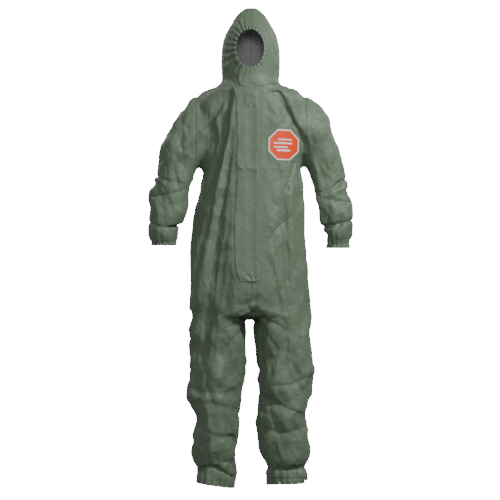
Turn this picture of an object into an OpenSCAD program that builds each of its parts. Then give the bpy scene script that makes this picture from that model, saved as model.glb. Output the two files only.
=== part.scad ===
// Hooded chemical protective coverall, shaped as it is when worn with the arms at the sides.
// Heights below are measured up from the trouser hems; the finished part has its origin at the
// centre of the neck seam. +X is the wearer's left, -Y is the front, +Z is up. Millimetres.

/* [Body] */
// Inside leg, from the trouser hem up to the crotch
inseam = 655; // [550:5:790]
// Crotch up to the centre of the neck seam
body_len = 860; // [740:5:1035]
// Width across the chest at the armpits
chest_w = 400; // [360:5:480]
// Width across the belly
belly_w = 412; // [360:5:490]
// Width across the seat
seat_w = 436; // [400:5:520]
// Fabric thickness of every panel
fabric_t = 2; // [1.5:0.1:2.4]

/* [Shoulders and armholes] */
// Drop from the centre of the neck seam to the tip of the shoulder
shoulder_drop = 33; // [26:1:40]
// Height of the armhole
armhole_h = 232; // [195:1:270]
// Depth of the armhole, front to back
armhole_d = 150; // [125:1:176]

/* [Neck] */
// Width of the neck seam
neck_w = 208; // [180:2:230]
// Front of the neck seam, ahead of the origin
neck_front = 122; // [105:1:130]
// Back of the neck seam, behind the origin
neck_back = 86; // [72:1:100]
// How much lower the neck seam is in front than at the middle
neck_dip = 25; // [20:1:30]

/* [Sleeves] */
// Armhole centre to elbow, along the arm
upper_arm = 264; // [240:1:316]
// Elbow to the end of the cuff, along the arm
forearm = 211; // [200:1:253]
// Lean of the upper arm away from vertical
arm_lean = 25; // [22:0.5:28]
// Lean of the forearm away from vertical
forearm_lean = 5; // [3:0.5:6]
// Half width of the sleeve at the elbow
elbow_r = 64; // [56:1:76]
// Inner radius of the wrist elastic
wrist_r = 33.5; // [28:0.1:40.5]

/* [Legs] */
// Knee below the crotch
knee_drop = 215; // [190:1:258]
// Centre of each knee from the centre line
knee_x = 130; // [124:1:140]
// Half width of the leg at the knee
knee_r = 103; // [88:1:110]
// Half width of the leg at mid shin
shin_r = 91; // [80:1:108]
// Inner radius of the ankle elastic
ankle_r = 66; // [56:1:78]
// Centre of each ankle from the centre line
ankle_x = 138; // [128:1:150]

/* [Hood] */
// Centre of the neck seam up to the hood's peak
hood_len = 312; // [262:1:372]
// Width of the hood at its widest
hood_w = 226; // [200:2:262]
// Width of the face opening
face_w = 108; // [92:1:128]
// Height of the face opening
face_h = 144; // [122:1:170]
// Centre of the face opening above the centre of the neck seam
face_up = 147; // [132:1:156]
// Width of the elastic round the face opening
face_elastic_w = 8; // [6:0.5:10]

/* [Zip] */
// Length of the zip
zip_len = 700; // [600:5:730]
// Visible width of the slot between the front panels
zip_slot = 34; // [28:1:40]
// Width of each zip tape
tape_w = 23; // [20:0.5:28]
// Thickness of each zip tape
tape_t = 0.8; // [0.6:0.1:1]
// Distance from one tooth to the next on the same tape
tooth_pitch = 5; // [4:0.5:6]
// Width of the zip slider
slider_w = 14; // [12:0.5:17]
// Length of the zip slider
slider_len = 20; // [16:1:24]
// Length of the pull tab
pull_len = 30; // [24:1:36]

/* [Flaps] */
// Width of the storm flap from its sewn edge to its free edge
storm_w = 86; // [72:1:100]
// Sewn edge of the storm flap, to the wearer's left of the centre line
storm_hinge_x = 32; // [28:1:38]
// Width of the adhesive tape under each flap
flap_tape_w = 20; // [16:1:24]
// Height of the chin flap
chin_h = 68; // [58:1:82]
// Reach of the chin flap past the centre line, to its free edge
chin_reach = 42; // [35:1:50]

/* [Label] */
// Width of the octagonal chest label across its flats
label_w = 116; // [98:1:138]
// Centre of the label to the wearer's left of the centre line
label_x = 124; // [116:1:126]
// Centre of the label below the centre of the neck seam
label_drop = 221; // [200:1:240]
// Width of the label's white border
label_border = 4.5; // [3:0.5:6]

/* [Hidden] */

green = [0.36, 0.45, 0.36];
dark_green = [0.30, 0.38, 0.30];
charcoal = [0.22, 0.22, 0.23];
elastic_white = [0.85, 0.85, 0.82];
zip_black = [0.12, 0.12, 0.13];
label_orange = [0.92, 0.31, 0.12];

round_fn = 64;              // segments drawn on true circles
neck_h = inseam + body_len; // height of the origin above the hems
shoulder_h = neck_h - shoulder_drop;
armpit_h = shoulder_h - armhole_h;
armhole_mid_h = armpit_h + armhole_h / 2;
peak_h = neck_h + hood_len;
seat_h = inseam + 115;      // lower edge of the body panels, where the seat begins to fold
leg_top_h = inseam - 5;     // upper edge of the leg tubes, just under the crotch
knee_h = inseam - knee_drop;
joint_gap = 0.3;            // clearance between pieces that only touch on the real suit

// ---- general helpers ------------------------------------------------------------------------

function lerp(a, b, t) = a + (b - a) * t;
function clamp01(t) = min(1, max(0, t));
function smooth(t) = let (u = clamp01(t)) u * u * (3 - 2 * u);
function unit(v) = v / max(norm(v), 1e-9);
function column(table, c) = [for (row = table) [row[0], row[c]]];
function profile(table, at, c) = lookup(at, column(table, c));

// Outward direction at one point of a grid of rows, for columns that run clockwise seen from above.
function grid_normal(g, r, c, wrap) =
    let (
        rows = len(g), cols = len(g[0]),
        before = wrap ? (c + cols - 1) % cols : max(c - 1, 0),
        after = wrap ? (c + 1) % cols : min(c + 1, cols - 1)
    )
    unit(cross(g[r][after] - g[r][before], g[min(r + 1, rows - 1)][c] - g[max(r - 1, 0)][c]));

// A piece of fabric: the outer surface is the grid g, and the inner one lies t further in. Where its
// first or last column is sewn in a plane, seam holds the two directions that lie in that plane.
no_seam = [1, 1, 1];
centre_seam = [0, 1, 1];
side_seam = [1, 0, 1];
module cloth(g, t = fabric_t, wrap = false, first = no_seam, last = no_seam) {
    rows = len(g);
    cols = len(g[0]);
    spans = wrap ? cols : cols - 1;
    n = rows * cols;
    outer = [for (r = [0:rows - 1]) for (c = [0:cols - 1]) g[r][c]];
    function in_plane(v, c) =
        let (seam = c == 0 ? first : c == cols - 1 ? last : no_seam)
        unit([v[0] * seam[0], v[1] * seam[1], v[2] * seam[2]]);
    inner = [for (r = [0:rows - 1]) for (c = [0:cols - 1])
        g[r][c] - t * in_plane(grid_normal(g, r, c, wrap), c)];
    function at(r, c) = r * cols + c % cols;
    function two(a, b, c, d) = [[a, b, c], [a, c, d]];
    walls = [for (r = [0:rows - 2]) for (c = [0:spans - 1])
        for (f = concat(
            two(at(r, c), at(r + 1, c), at(r + 1, c + 1), at(r, c + 1)),
            two(n + at(r, c), n + at(r, c + 1), n + at(r + 1, c + 1), n + at(r + 1, c)))) f];
    ends = [for (c = [0:spans - 1])
        for (f = concat(
            two(at(0, c), at(0, c + 1), n + at(0, c + 1), n + at(0, c)),
            two(at(rows - 1, c), n + at(rows - 1, c), n + at(rows - 1, c + 1), at(rows - 1, c + 1)))) f];
    edges = wrap ? [] : [for (r = [0:rows - 2])
        for (f = concat(
            two(at(r, 0), n + at(r, 0), n + at(r + 1, 0), at(r + 1, 0)),
            two(at(r, cols - 1), at(r + 1, cols - 1), n + at(r + 1, cols - 1), n + at(r, cols - 1)))) f];
    polyhedron(points = concat(outer, inner), faces = concat(walls, ends, edges));
}

// Puts a shape drawn at its height above the hems into the part's frame.
module placed() translate([0, 0, -neck_h]) children();

// Draws the wearer's left piece, or its mirror image for the right.
module sided(side) mirror([side < 0 ? 1 : 0, 0, 0]) placed() children();

// ---- body -----------------------------------------------------------------------------------

// The front follows the zip, which is straight from the neck seam to the belly.
zip_top_h = neck_h - neck_dip;
zip_lean = 2.1;             // degrees that the zip leans out towards its lower end
zip_run_h = zip_top_h - seat_h;
front_at_seat = neck_front + zip_run_h * tan(zip_lean);
crotch_front = 118;
crotch_back = 120;

side_table = [
    [inseam, seat_w / 2 + 12], [seat_h, seat_w / 2], [lerp(seat_h, armpit_h, 0.5), belly_w / 2],
    [armpit_h - 60, chest_w / 2 - 5], [armpit_h, chest_w / 2], [shoulder_h, chest_w / 2 + 3],
    [neck_h, neck_w / 2]];
back_table = [
    [inseam, crotch_back], [seat_h, 138], [lerp(seat_h, armpit_h, 0.35), 122],
    [lerp(seat_h, armpit_h, 0.7), 110], [armpit_h, 122], [lerp(armpit_h, shoulder_h, 0.7), 128],
    [shoulder_h, 118], [neck_h, neck_back]];

function side_x(h) = profile(side_table, h, 1);
function front_y(h) = h < seat_h
    ? lerp(crotch_front, front_at_seat, smooth((h - inseam) / (seat_h - inseam)))
    : neck_front + (neck_h - max(h, seat_h)) * tan(zip_lean) * zip_run_h / (neck_h - seat_h);
function back_y(h) = profile(back_table, h, 1);
function dip(h) = neck_dip * smooth((h - armhole_mid_h) / (neck_h - armhole_mid_h));

// Half depth of the armhole at one height, and the angle round the body at which the panel ends.
function armhole_y(h) =
    armhole_d / 2 * sqrt(max(0, 1 - pow((h - armhole_mid_h) / (armhole_h / 2), 2)));
function edge_angle(h, depth) = acos(armhole_y(h) / depth);

// A point on the body at a height, t of the way from the centre line to the side.
function front_point(h, t, start_x = 0) =
    let (
        depth = front_y(h), last = edge_angle(h, depth), reach = side_x(h) / sin(last),
        a = lerp(asin(start_x / reach), last, t)
    )
    [reach * sin(a), -depth * cos(a), h - dip(h) * cos(a)];
function back_point(h, t) =
    let (
        depth = back_y(h), last = edge_angle(h, depth), reach = side_x(h) / sin(last), a = last * t
    )
    [reach * sin(a), depth * cos(a), h + dip(h) * cos(a)];

body_cols = 10;
body_rows = concat(
    [for (i = [0:5]) lerp(seat_h, armpit_h, i / 5)],
    [for (i = [1:7]) armhole_mid_h - armhole_h / 2 * cos(180 * i / 7)],
    [for (i = [1:3]) lerp(shoulder_h, neck_h, i / 3)]);

module front_panel() {
    g = [for (h = body_rows) [for (c = [0:body_cols]) front_point(h, c / body_cols, zip_slot / 2)]];
    cloth(g, last = side_seam);
}

module back_panel() {
    g = [for (h = body_rows) [for (c = [0:body_cols]) back_point(h, 1 - c / body_cols)]];
    cloth(g, first = side_seam, last = centre_seam);
}

// The seat folds as the leg swings: a half ring from the body panels down to the crotch.
module seat_panel() {
    rows = [for (i = [0:4]) lerp(inseam + 1, seat_h - 3 * joint_gap, i / 4)];
    g = [for (h = rows) [for (c = [0:2 * body_cols])
        c <= body_cols ? front_point(h, c / body_cols) : back_point(h, 2 - c / body_cols)]];
    cloth(g, first = centre_seam, last = centre_seam);
}

// ---- neck and hood --------------------------------------------------------------------------

neck_gap = 35;              // height of the band that folds as the hood tilts
hood_base_h = neck_h + neck_gap;
face_mid_h = neck_h + face_up;
hood_table = [
    [0, neck_w / 2 + 2, neck_front - 3, neck_back + 12],
    [0.15, hood_w / 2, neck_front, neck_back + 29],
    [0.40, hood_w / 2 - 1, neck_front, neck_back + 39],
    [0.55, hood_w * 0.455, neck_front - 10, neck_back + 36],
    [0.71, hood_w * 0.372, neck_front - 34, neck_back + 22],
    [0.87, hood_w * 0.239, neck_front - 72, neck_back - 6],
    [1, 7, -10, neck_back - 52]];

function hood_share(h) = (h - hood_base_h) / (peak_h - hood_base_h);
function hood_dip(h) = neck_dip * (1 - smooth(hood_share(h) / 0.25));
function hood_point(h, a) =
    let (
        s = hood_share(h), wide = profile(hood_table, s, 1),
        ahead = profile(hood_table, s, 2), behind = profile(hood_table, s, 3)
    )
    [wide * sin(a), lerp(-ahead, behind, (1 - cos(a)) / 2), h - hood_dip(h) * cos(a)];

// Half width of the face opening at one height, and the angle round the hood where it is.
function face_half(h) = face_w / 2 * sqrt(max(0, 1 - pow((h - face_mid_h) / (face_h / 2), 2)));
function face_angle(h) = asin(face_half(h) / profile(hood_table, hood_share(h), 1));

hood_cols = 14;
face_low_h = face_mid_h - face_h / 2;
face_top_h = face_mid_h + face_h / 2;
hood_rows = concat(
    [for (i = [0:1]) lerp(hood_base_h, face_low_h, i / 2)],
    [for (i = [0:8]) face_mid_h - face_h / 2 * cos(180 * i / 8)],
    [for (i = [1:5]) lerp(face_top_h, peak_h, i / 5)]);

module hood_panel() {
    g = [for (h = hood_rows) [for (c = [0:hood_cols])
        hood_point(h, lerp(face_angle(h), 180, c / hood_cols))]];
    cloth(g, first = centre_seam, last = centre_seam);
}

// A strip that follows the edge of the face opening, from one distance outside it to another.
module face_ring(from_edge, to_edge, lift, t) { // lift is minus inside the hood
    segments = 32;
    function edge(a, away) =
        let (
            h = face_mid_h + (face_h / 2 + away) * cos(a),
            x = (face_w / 2 + away) * sin(a),
            s = hood_share(h), wide = profile(hood_table, s, 1),
            round = asin(x / wide),
            p = hood_point(h, round)
        )
        [p[0], p[1] - lift, h];
    g = [for (away = [from_edge, to_edge]) [for (i = [0:segments - 1])
        edge(360 * i / segments, away)]];
    cloth(g, t, wrap = true);
}

face_hem_w = face_elastic_w + 5;
face_elastic_gap = 2.6;     // clearance between the elastic and the inner face of the hood
module face_hem() placed() face_ring(-2, face_hem_w, fabric_t + joint_gap + 0.9, fabric_t);
module face_elastic() placed() face_ring(0, face_elastic_w, -fabric_t - face_elastic_gap, 1);

// The neck band joins the body to the hood and folds as the hood tilts.
module neck_band() {
    band_cols = 40;
    function around(i) = 360 * i / band_cols;
    function body_ring(a) =
        let (ahead = front_y(neck_h), behind = back_y(neck_h))
        [neck_w / 2 * sin(a), lerp(-ahead, behind, (1 - cos(a)) / 2), neck_h - neck_dip * cos(a)];
    low = [for (i = [0:band_cols - 1]) body_ring(around(i)) + [0, 0, 2 * joint_gap]];
    high = [for (i = [0:band_cols - 1]) hood_point(hood_base_h, around(i)) - [0, 0, 3 * joint_gap]];
    middle = [for (i = [0:band_cols - 1]) lerp(low[i], high[i], 0.5)];
    placed() cloth([low, middle, high], wrap = true);
}

// ---- chest label and size label ---------------------------------------------------------------

label_h = neck_h - label_drop;
label_t = 0.6;
label_lift = 2.4;           // outer face of the border in front of the chest
label_gap = 0.9;            // clearance between the layers, which follow the chest in steps
bar_t = 0.4;
function chest_point(x, h, lift) =
    let (depth = front_y(h), reach = side_x(h) / sin(edge_angle(h, depth)), a = asin(x / reach))
    [x, -depth * cos(a) - lift, h - dip(h) * cos(a)];

// An octagon, w across its flats, that follows the chest at a distance from it.
module chest_octagon(w, lift) {
    corner = w / 2 * tan(22.5);
    rows = [-w / 2, -corner, 0, corner, w / 2];
    function half(v) = min(w / 2, w / 2 + corner - abs(v));
    g = [for (v = rows) [for (c = [0:10])
        chest_point(label_x + half(v) * (c / 5 - 1), label_h + v, lift)]];
    placed() cloth(g, label_t);
}

face_label_w = label_w - 2 * label_border;
module label_bars() {
    bars = [[14, -26, 34], [4, -40, 36], [-14, -40, 18], [-26, -22, 26]]; // height, left end, right end
    bar_h = 5;
    for (bar = bars) {
        g = [for (v = [0, 1]) [for (c = [0:6])
            chest_point(label_x + lerp(bar[1], bar[2], c / 6), label_h + bar[0] + bar_h * v,
                label_lift + label_t + 2 * label_gap + bar_t)]];
        placed() cloth(g, bar_t);
    }
}

module size_label() {
    tag_w = 40;
    tag_h = 55;
    tag_t = 0.6;
    slack = 9;              // the back curves in behind the tag
    gap = fabric_t + 0.9;
    placed() translate([-tag_w / 2, back_y(shoulder_h) - gap - slack, shoulder_h - tag_h])
        cube([tag_w, tag_t, tag_h]);
}

// ---- zip ------------------------------------------------------------------------------------

zip_drop = 6;               // top of the zip below the edge of the neck seam
web_t = 0.8;                // web of the slider, which runs in the slit between the tapes
slit = 1.4;                 // slit between the two tapes
tooth_reach = 4.2;
tooth_d = 2.5;              // how far the teeth stand out from the tape
tooth_len = tooth_pitch * 0.44;
slider_gap = 0.4;           // clearance between the slider and what it runs on
plate_t = 1.5;

// The zip's own frame: its top at the origin, its length down -Z and its outside towards -Y.
module zip_frame()
    placed() translate([0, -neck_front, zip_top_h]) rotate([-zip_lean, 0, 0])
        translate([0, 0, -zip_drop]) children();

tape_y = fabric_t + 3.2;    // the tapes lie just behind the front panels

module zip_tape(side) {
    x = side > 0 ? slit / 2 : -slit / 2 - tape_w;
    zip_frame() translate([x, tape_y, -zip_len]) cube([tape_w, tape_t, zip_len]);
}

module zip_teeth(side) {
    count = floor((zip_len - slider_len - 14) / tooth_pitch);
    shift = side > 0 ? 0 : tooth_pitch / 2;
    x = side > 0 ? slit / 2 : -slit / 2 - tooth_reach;
    zip_frame() for (i = [1:count])
        translate([x, tape_y - tooth_d, -slider_len - 2 - shift - i * tooth_pitch])
            cube([tooth_reach, tooth_d, tooth_len]);
}

module zip_top_stops() {
    zip_frame() for (side = [-1, 1])
        translate([side * (slit / 2 + 1.6) - 1.5, tape_y - 2, -4]) cube([3, 2, 3.5]);
}

module zip_bottom_stop() {
    zip_frame() translate([-5, tape_y - 3, -zip_len]) cube([10, 3, 6]);
}

slider_top = -5;            // upper end of the slider when the zip is closed
slider_front = tape_y - tooth_d - slider_gap;
slider_back = tape_y + tape_t + slider_gap;
pin_z = slider_top - 6;
pin_r = 1;
pin_gap = 0.08;             // running clearance round the pin
pin_y = slider_front - plate_t - 2.2;
slider_travel = zip_len - slider_len - 14;

module zip_slider() {
    lug_r = 1.9;
    lug_w = 1.2;
    zip_frame() {
        translate([-slider_w / 2, slider_front - plate_t, slider_top - slider_len])
            cube([slider_w, plate_t, slider_len]);
        translate([-slider_w / 2, slider_back, slider_top - slider_len])
            cube([slider_w, plate_t, slider_len]);
        translate([-web_t / 2, slider_front - 0.5, slider_top - slider_len])
            cube([web_t, slider_back - slider_front + 1, slider_len]);
        for (side = [-1, 1]) {
            translate([side * 3.4 - lug_w / 2, pin_y, pin_z - lug_r])
                cube([lug_w, slider_front - plate_t - pin_y + 0.3, 2 * lug_r]);
            translate([side * 3.4 - lug_w / 2, pin_y, pin_z]) rotate([0, 90, 0])
                cylinder(r = lug_r, h = lug_w, $fn = round_fn);
        }
        translate([-3.4, pin_y, pin_z]) rotate([0, 90, 0]) cylinder(r = pin_r, h = 6.8, $fn = round_fn);
    }
}

module zip_pull() {
    eye_r = 2;
    eye_w = 5;
    tab_t = 1.4;
    tab_w = 9;
    zip_frame() translate([0, pin_y, pin_z]) difference() {
        union() {
            translate([-eye_w / 2, 0, 0]) rotate([0, 90, 0]) cylinder(r = eye_r, h = eye_w, $fn = round_fn);
            translate([-eye_w / 2, -tab_t / 2, -9]) cube([eye_w, tab_t, 9]);
            translate([-tab_w / 2, -tab_t / 2, -pull_len]) cube([tab_w, tab_t, pull_len - 6.5]);
        }
        translate([-eye_w, 0, 0]) rotate([0, 90, 0])
            cylinder(r = pin_r + pin_gap, h = 2 * eye_w, $fn = round_fn);
        translate([-2, -tab_t, -pull_len + 3]) cube([4, 2 * tab_t, 9]);
    }
}

// A loose strip behind the zip that keeps splashes out.
module inner_flap() {
    flap_y = slider_back + plate_t + 1;
    w = 2 * tape_w + 14;
    zip_frame() translate([-w / 2, flap_y, -zip_len + 4]) cube([w, 1.2, zip_len - 8]);
}

// ---- flaps ----------------------------------------------------------------------------------

storm_y = pin_y - 2.9;      // inner face of the storm flap, clear of the pull tab
storm_len = zip_len + 6;
flap_t = 2;

module storm_flap() {
    zip_frame() translate([storm_hinge_x - storm_w, storm_y - flap_t, -zip_len - 4])
        cube([storm_w, flap_t, storm_len]);
}

module storm_flap_tape() {
    zip_frame() translate([storm_hinge_x - storm_w + 4, storm_y, -zip_len + 8])
        cube([flap_tape_w, 0.8, storm_len - 24]);
}

// The chin flap is sewn to the wearer's left side of the hood and closes across the chin.
chin_top_h = face_low_h - 2;
chin_angle = 62;            // how far round the hood its sewn edge is
chin_lift = 7;
chin_low_h = chin_top_h - chin_h;
function chin_point(h, a) =
    let (p = hood_point(max(h, hood_base_h), a), out = unit([sin(a), -cos(a), 0]))
    [p[0] + out[0] * chin_lift, p[1] + out[1] * chin_lift, h];
chin_from = -asin(chin_reach / (hood_w / 2));

module chin_sheet(from, to, low, high, t) {
    cols = 12;
    g = [for (h = [low, (low + high) / 2, high]) [for (c = [0:cols])
        chin_point(h, lerp(from, to, c / cols))]];
    placed() cloth(g, t);
}
module chin_flap() chin_sheet(chin_from, chin_angle, chin_low_h, chin_top_h, fabric_t);
module chin_flap_tape() {
    tape_turn = 2 * flap_tape_w / hood_w * 57.3;
    inward = fabric_t + 2 * joint_gap;
    cols = 4;
    g = [for (h = [chin_low_h + 8, (chin_low_h + chin_top_h) / 2, chin_top_h - 8]) [for (c = [0:cols])
        let (a = chin_from + 2 + tape_turn * c / cols, p = chin_point(h, a), out = [sin(a), -cos(a), 0])
        p - inward * out]];
    placed() cloth(g, 0.8);
}

// ---- sleeves --------------------------------------------------------------------------------

armhole_c = [chest_w / 2 + 3, 0, armhole_mid_h];
elbow_c = armhole_c + upper_arm * [sin(arm_lean), 0, -cos(arm_lean)];
wrist_c = elbow_c + forearm * [sin(forearm_lean), 0, -cos(forearm_lean)];
cuff_t = 1.5;
wrist_elastic_t = 2;
wrist_elastic_w = 12;
cuff_out_r = wrist_r + wrist_elastic_t + joint_gap + cuff_t;

// Rings of the sleeve: centre across and up, tilt of the ring's plane, half width, half depth.
// A tilt of 0 stands the ring upright in the armhole and 90 lays it level round the wrist.
armpit_x = chest_w / 2 + 4;
sleeve_a = [armpit_x + 60, armpit_h + 36, 36, 82, 72];
sleeve_b = [elbow_c[0] - 17, elbow_c[2] + 73, 68, elbow_r, 67];
sleeve_c = [elbow_c[0] + 4, elbow_c[2] - 57, 90, elbow_r + 4, 66];
sleeve_d = [lerp(elbow_c[0], wrist_c[0], 0.62), lerp(elbow_c[2], wrist_c[2], 0.6), 90, elbow_r, 63];
sleeve_e = [wrist_c[0], wrist_c[2] + 42, 90, lerp(cuff_out_r, elbow_r, 0.55), 52];
sleeve_f = [wrist_c[0], wrist_c[2] + 22, 90, cuff_out_r + 6, cuff_out_r + 6];
sleeve_g = [wrist_c[0], wrist_c[2], 90, cuff_out_r, cuff_out_r];

sleeve_cols = 28;
function sleeve_ring(s, shift = 0) = [for (i = [0:sleeve_cols - 1])
    let (a = -360 * i / sleeve_cols, up = [sin(s[2]), 0, cos(s[2])], along = [cos(s[2]), 0, -sin(s[2])])
    [s[0], 0, s[1]] + s[3] * cos(a) * up + [0, s[4] * sin(a), 0] + shift * along];

// Rings are stacked from the wrist upwards, so that their columns run clockwise seen from above.
module sleeve_upper() cloth([sleeve_ring(sleeve_b), sleeve_ring((sleeve_a + sleeve_b) / 2),
    sleeve_ring(sleeve_a)], wrap = true);
module sleeve_lower() cloth([sleeve_ring(sleeve_g), sleeve_ring(sleeve_f), sleeve_ring(sleeve_e),
    sleeve_ring(sleeve_d), sleeve_ring(sleeve_c)], t = cuff_t, wrap = true);
elbow_gap = 4 * joint_gap;
module elbow_fold() cloth([sleeve_ring(sleeve_c, -elbow_gap), sleeve_ring((sleeve_b + sleeve_c) / 2),
    sleeve_ring(sleeve_b, elbow_gap)], wrap = true);

// The sleeve head fans from the upright armhole to the sleeve.
module armhole_fold() {
    seam = [for (i = [0:sleeve_cols - 1])
        let (a = -360 * i / sleeve_cols)
        armhole_c + [joint_gap, (armhole_d / 2 + 1) * sin(a), armhole_h / 2 * cos(a)]];
    near = sleeve_ring(sleeve_a, -joint_gap);
    half = [for (i = [0:sleeve_cols - 1]) lerp(seam[i], near[i], 0.5)];
    cloth([near, half, seam], wrap = true);
}

// The elastic is a true ring: its inner wall is what a gloved wrist meets.
module wrist_elastic() {
    translate([wrist_c[0], 0, wrist_c[2] + 3]) difference() {
        cylinder(r = wrist_r + wrist_elastic_t, h = wrist_elastic_w, $fn = round_fn);
        translate([0, 0, -1]) cylinder(r = wrist_r, h = wrist_elastic_w + 2, $fn = round_fn);
    }
}

// ---- legs -----------------------------------------------------------------------------------

ankle_elastic_t = 2.5;
ankle_elastic_w = 15;
hem_out_r = ankle_r + ankle_elastic_t + joint_gap + fabric_t + 0.6;
knee_gap = 80;              // half height of the fabric that folds behind the knee
crotch_half = seat_w / 4 + 3;
thigh_d = 114;              // half depth of the leg at the crotch
thigh_shift = 7;            // centre of the thigh beyond a quarter of the seat
// Height, centre, half width, half depth
leg_table = [
    [0, ankle_x, hem_out_r, hem_out_r], [70, ankle_x - 1, hem_out_r + 7, hem_out_r + 9],
    [knee_h * 0.42, knee_x - 1, shin_r - 1, shin_r], [knee_h * 0.7, knee_x - 2, shin_r + 1, shin_r + 2],
    [knee_h, knee_x, knee_r, knee_r - 2], [leg_top_h, crotch_half + thigh_shift, crotch_half - 1, thigh_d]];

leg_cols = 32;
function leg_point(h, a) =
    [profile(leg_table, h, 1) - profile(leg_table, h, 2) * cos(a), -profile(leg_table, h, 3) * sin(a), h];

// Part of the leg's tube between two heights; angles run from the inside seam round the front.
module leg_part(low, high, rows, from, to) {
    closed = to - from >= 360;
    cols = round(leg_cols * (to - from) / 360);
    last = closed ? cols - 1 : cols;
    g = [for (r = [0:rows]) [for (c = [0:last])
        leg_point(lerp(low, high, r / rows), lerp(from, to, c / cols))]];
    cloth(g, wrap = closed, first = closed ? no_seam : side_seam, last = closed ? no_seam : side_seam);
}

// The gusset closes the fork between the two legs.
module crotch_gusset() {
    steps = 16;
    reach = thigh_d - 6;    // half length, front to back
    side = [for (i = [-steps:steps]) let (
        y = reach * i / steps,
        x = crotch_half + thigh_shift - (crotch_half - 1) * sqrt(1 - pow(y / thigh_d, 2))
    ) [x - 1, y]];
    other = [for (i = [len(side) - 1:-1:0]) [-side[i][0], side[i][1]]];
    placed() translate([0, 0, leg_top_h + 2 * joint_gap]) linear_extrude(fabric_t)
        polygon(concat(side, other));
}

module thigh(front) leg_part(knee_h + knee_gap, leg_top_h, 3, front ? 0 : 180, front ? 180 : 360);
module shin(front) leg_part(0, knee_h - knee_gap, 7, front ? 0 : 180, front ? 180 : 360);
module knee_fold() leg_part(knee_h - knee_gap + joint_gap, knee_h + knee_gap - joint_gap, 2, 0, 360);

module ankle_elastic() {
    translate([ankle_x, 0, 4]) difference() {
        cylinder(r = ankle_r + ankle_elastic_t, h = ankle_elastic_w, $fn = round_fn);
        translate([0, 0, -1]) cylinder(r = ankle_r, h = ankle_elastic_w + 2, $fn = round_fn);
    }
}

// ---- every node -----------------------------------------------------------------------------

color(green) sided(1) front_panel();  // front_left
color(green) sided(-1) front_panel();  // front_right
color(green) sided(1) back_panel();  // back_left
color(green) sided(-1) back_panel();  // back_right
color(green) sided(1) seat_panel();  // seat_left
color(green) sided(-1) seat_panel();  // seat_right
color(dark_green) crotch_gusset();
color(green) neck_band();
color(zip_black) zip_tape(1);  // zip_tape_left
color(zip_black) zip_tape(-1);  // zip_tape_right
color(zip_black) zip_teeth(1);  // zip_teeth_left
color(zip_black) zip_teeth(-1);  // zip_teeth_right
color(zip_black) zip_top_stops();
color(zip_black) zip_bottom_stop();
color(charcoal) inner_flap();
color("white") chest_octagon(label_w, label_lift);  // label_border
color(label_orange) chest_octagon(face_label_w, label_lift + label_t + label_gap);  // label_face
color("white") label_bars();
color("white") size_label();
color(green) storm_flap();
color("ivory") storm_flap_tape();
color(green) chin_flap();
color("ivory") chin_flap_tape();
color(zip_black) zip_slider();
color(zip_black) zip_pull();
color(green) sided(1) hood_panel();  // hood_left
color(green) sided(-1) hood_panel();  // hood_right
color(dark_green) face_hem();
color(elastic_white) face_elastic();
color(green) sided(1) armhole_fold();  // armhole_left
color(green) sided(-1) armhole_fold();  // armhole_right
color(green) sided(1) sleeve_upper();  // sleeve_left
color(green) sided(-1) sleeve_upper();  // sleeve_right
color(green) sided(1) elbow_fold();  // elbow_left
color(green) sided(-1) elbow_fold();  // elbow_right
color(green) sided(1) sleeve_lower();  // forearm_left
color(green) sided(-1) sleeve_lower();  // forearm_right
color(elastic_white) sided(1) wrist_elastic();  // wrist_elastic_left
color(elastic_white) sided(-1) wrist_elastic();  // wrist_elastic_right
color(green) sided(1) thigh(true);  // thigh_front_left
color(green) sided(1) thigh(false);  // thigh_back_left
color(green) sided(-1) thigh(true);  // thigh_front_right
color(green) sided(-1) thigh(false);  // thigh_back_right
color(green) sided(1) knee_fold();  // knee_left
color(green) sided(-1) knee_fold();  // knee_right
color(green) sided(1) shin(true);  // shin_front_left
color(green) sided(1) shin(false);  // shin_back_left
color(green) sided(-1) shin(true);  // shin_front_right
color(green) sided(-1) shin(false);  // shin_back_right
color(elastic_white) sided(1) ankle_elastic();  // ankle_elastic_left
color(elastic_white) sided(-1) ankle_elastic();  // ankle_elastic_right
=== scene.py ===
"""A hooded chemical protective coverall, worn shape, sewn from grey-green coated laminate."""

import bmesh
import bpy
import numpy as np
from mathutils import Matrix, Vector


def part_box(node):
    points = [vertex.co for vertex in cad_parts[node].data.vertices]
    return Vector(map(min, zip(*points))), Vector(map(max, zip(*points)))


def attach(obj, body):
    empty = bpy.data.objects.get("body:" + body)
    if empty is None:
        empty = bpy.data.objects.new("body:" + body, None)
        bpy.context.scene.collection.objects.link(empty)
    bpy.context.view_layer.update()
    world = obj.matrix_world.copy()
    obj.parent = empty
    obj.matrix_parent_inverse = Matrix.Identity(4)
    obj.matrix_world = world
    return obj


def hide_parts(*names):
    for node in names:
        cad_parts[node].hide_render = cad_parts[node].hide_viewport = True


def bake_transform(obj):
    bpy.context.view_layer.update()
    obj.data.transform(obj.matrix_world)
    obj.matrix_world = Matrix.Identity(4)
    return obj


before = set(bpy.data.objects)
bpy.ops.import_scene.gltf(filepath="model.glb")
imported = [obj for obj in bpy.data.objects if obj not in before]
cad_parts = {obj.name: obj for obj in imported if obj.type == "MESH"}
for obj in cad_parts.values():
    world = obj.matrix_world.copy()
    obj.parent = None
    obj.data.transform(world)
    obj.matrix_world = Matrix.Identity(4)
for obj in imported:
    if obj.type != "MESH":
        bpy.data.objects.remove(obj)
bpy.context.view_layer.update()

# ---- Studio -------------------------------------------------------------------------------------
# A pale floor with large soft lamps, and a long lens at mid height, square to the front.
scene = bpy.context.scene
hem_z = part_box("shin_front_left")[0].z
peak_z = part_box("hood_left")[1].z
VIEW_SPAN = 1.915
LENS_DISTANCE = 9.0

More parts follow.
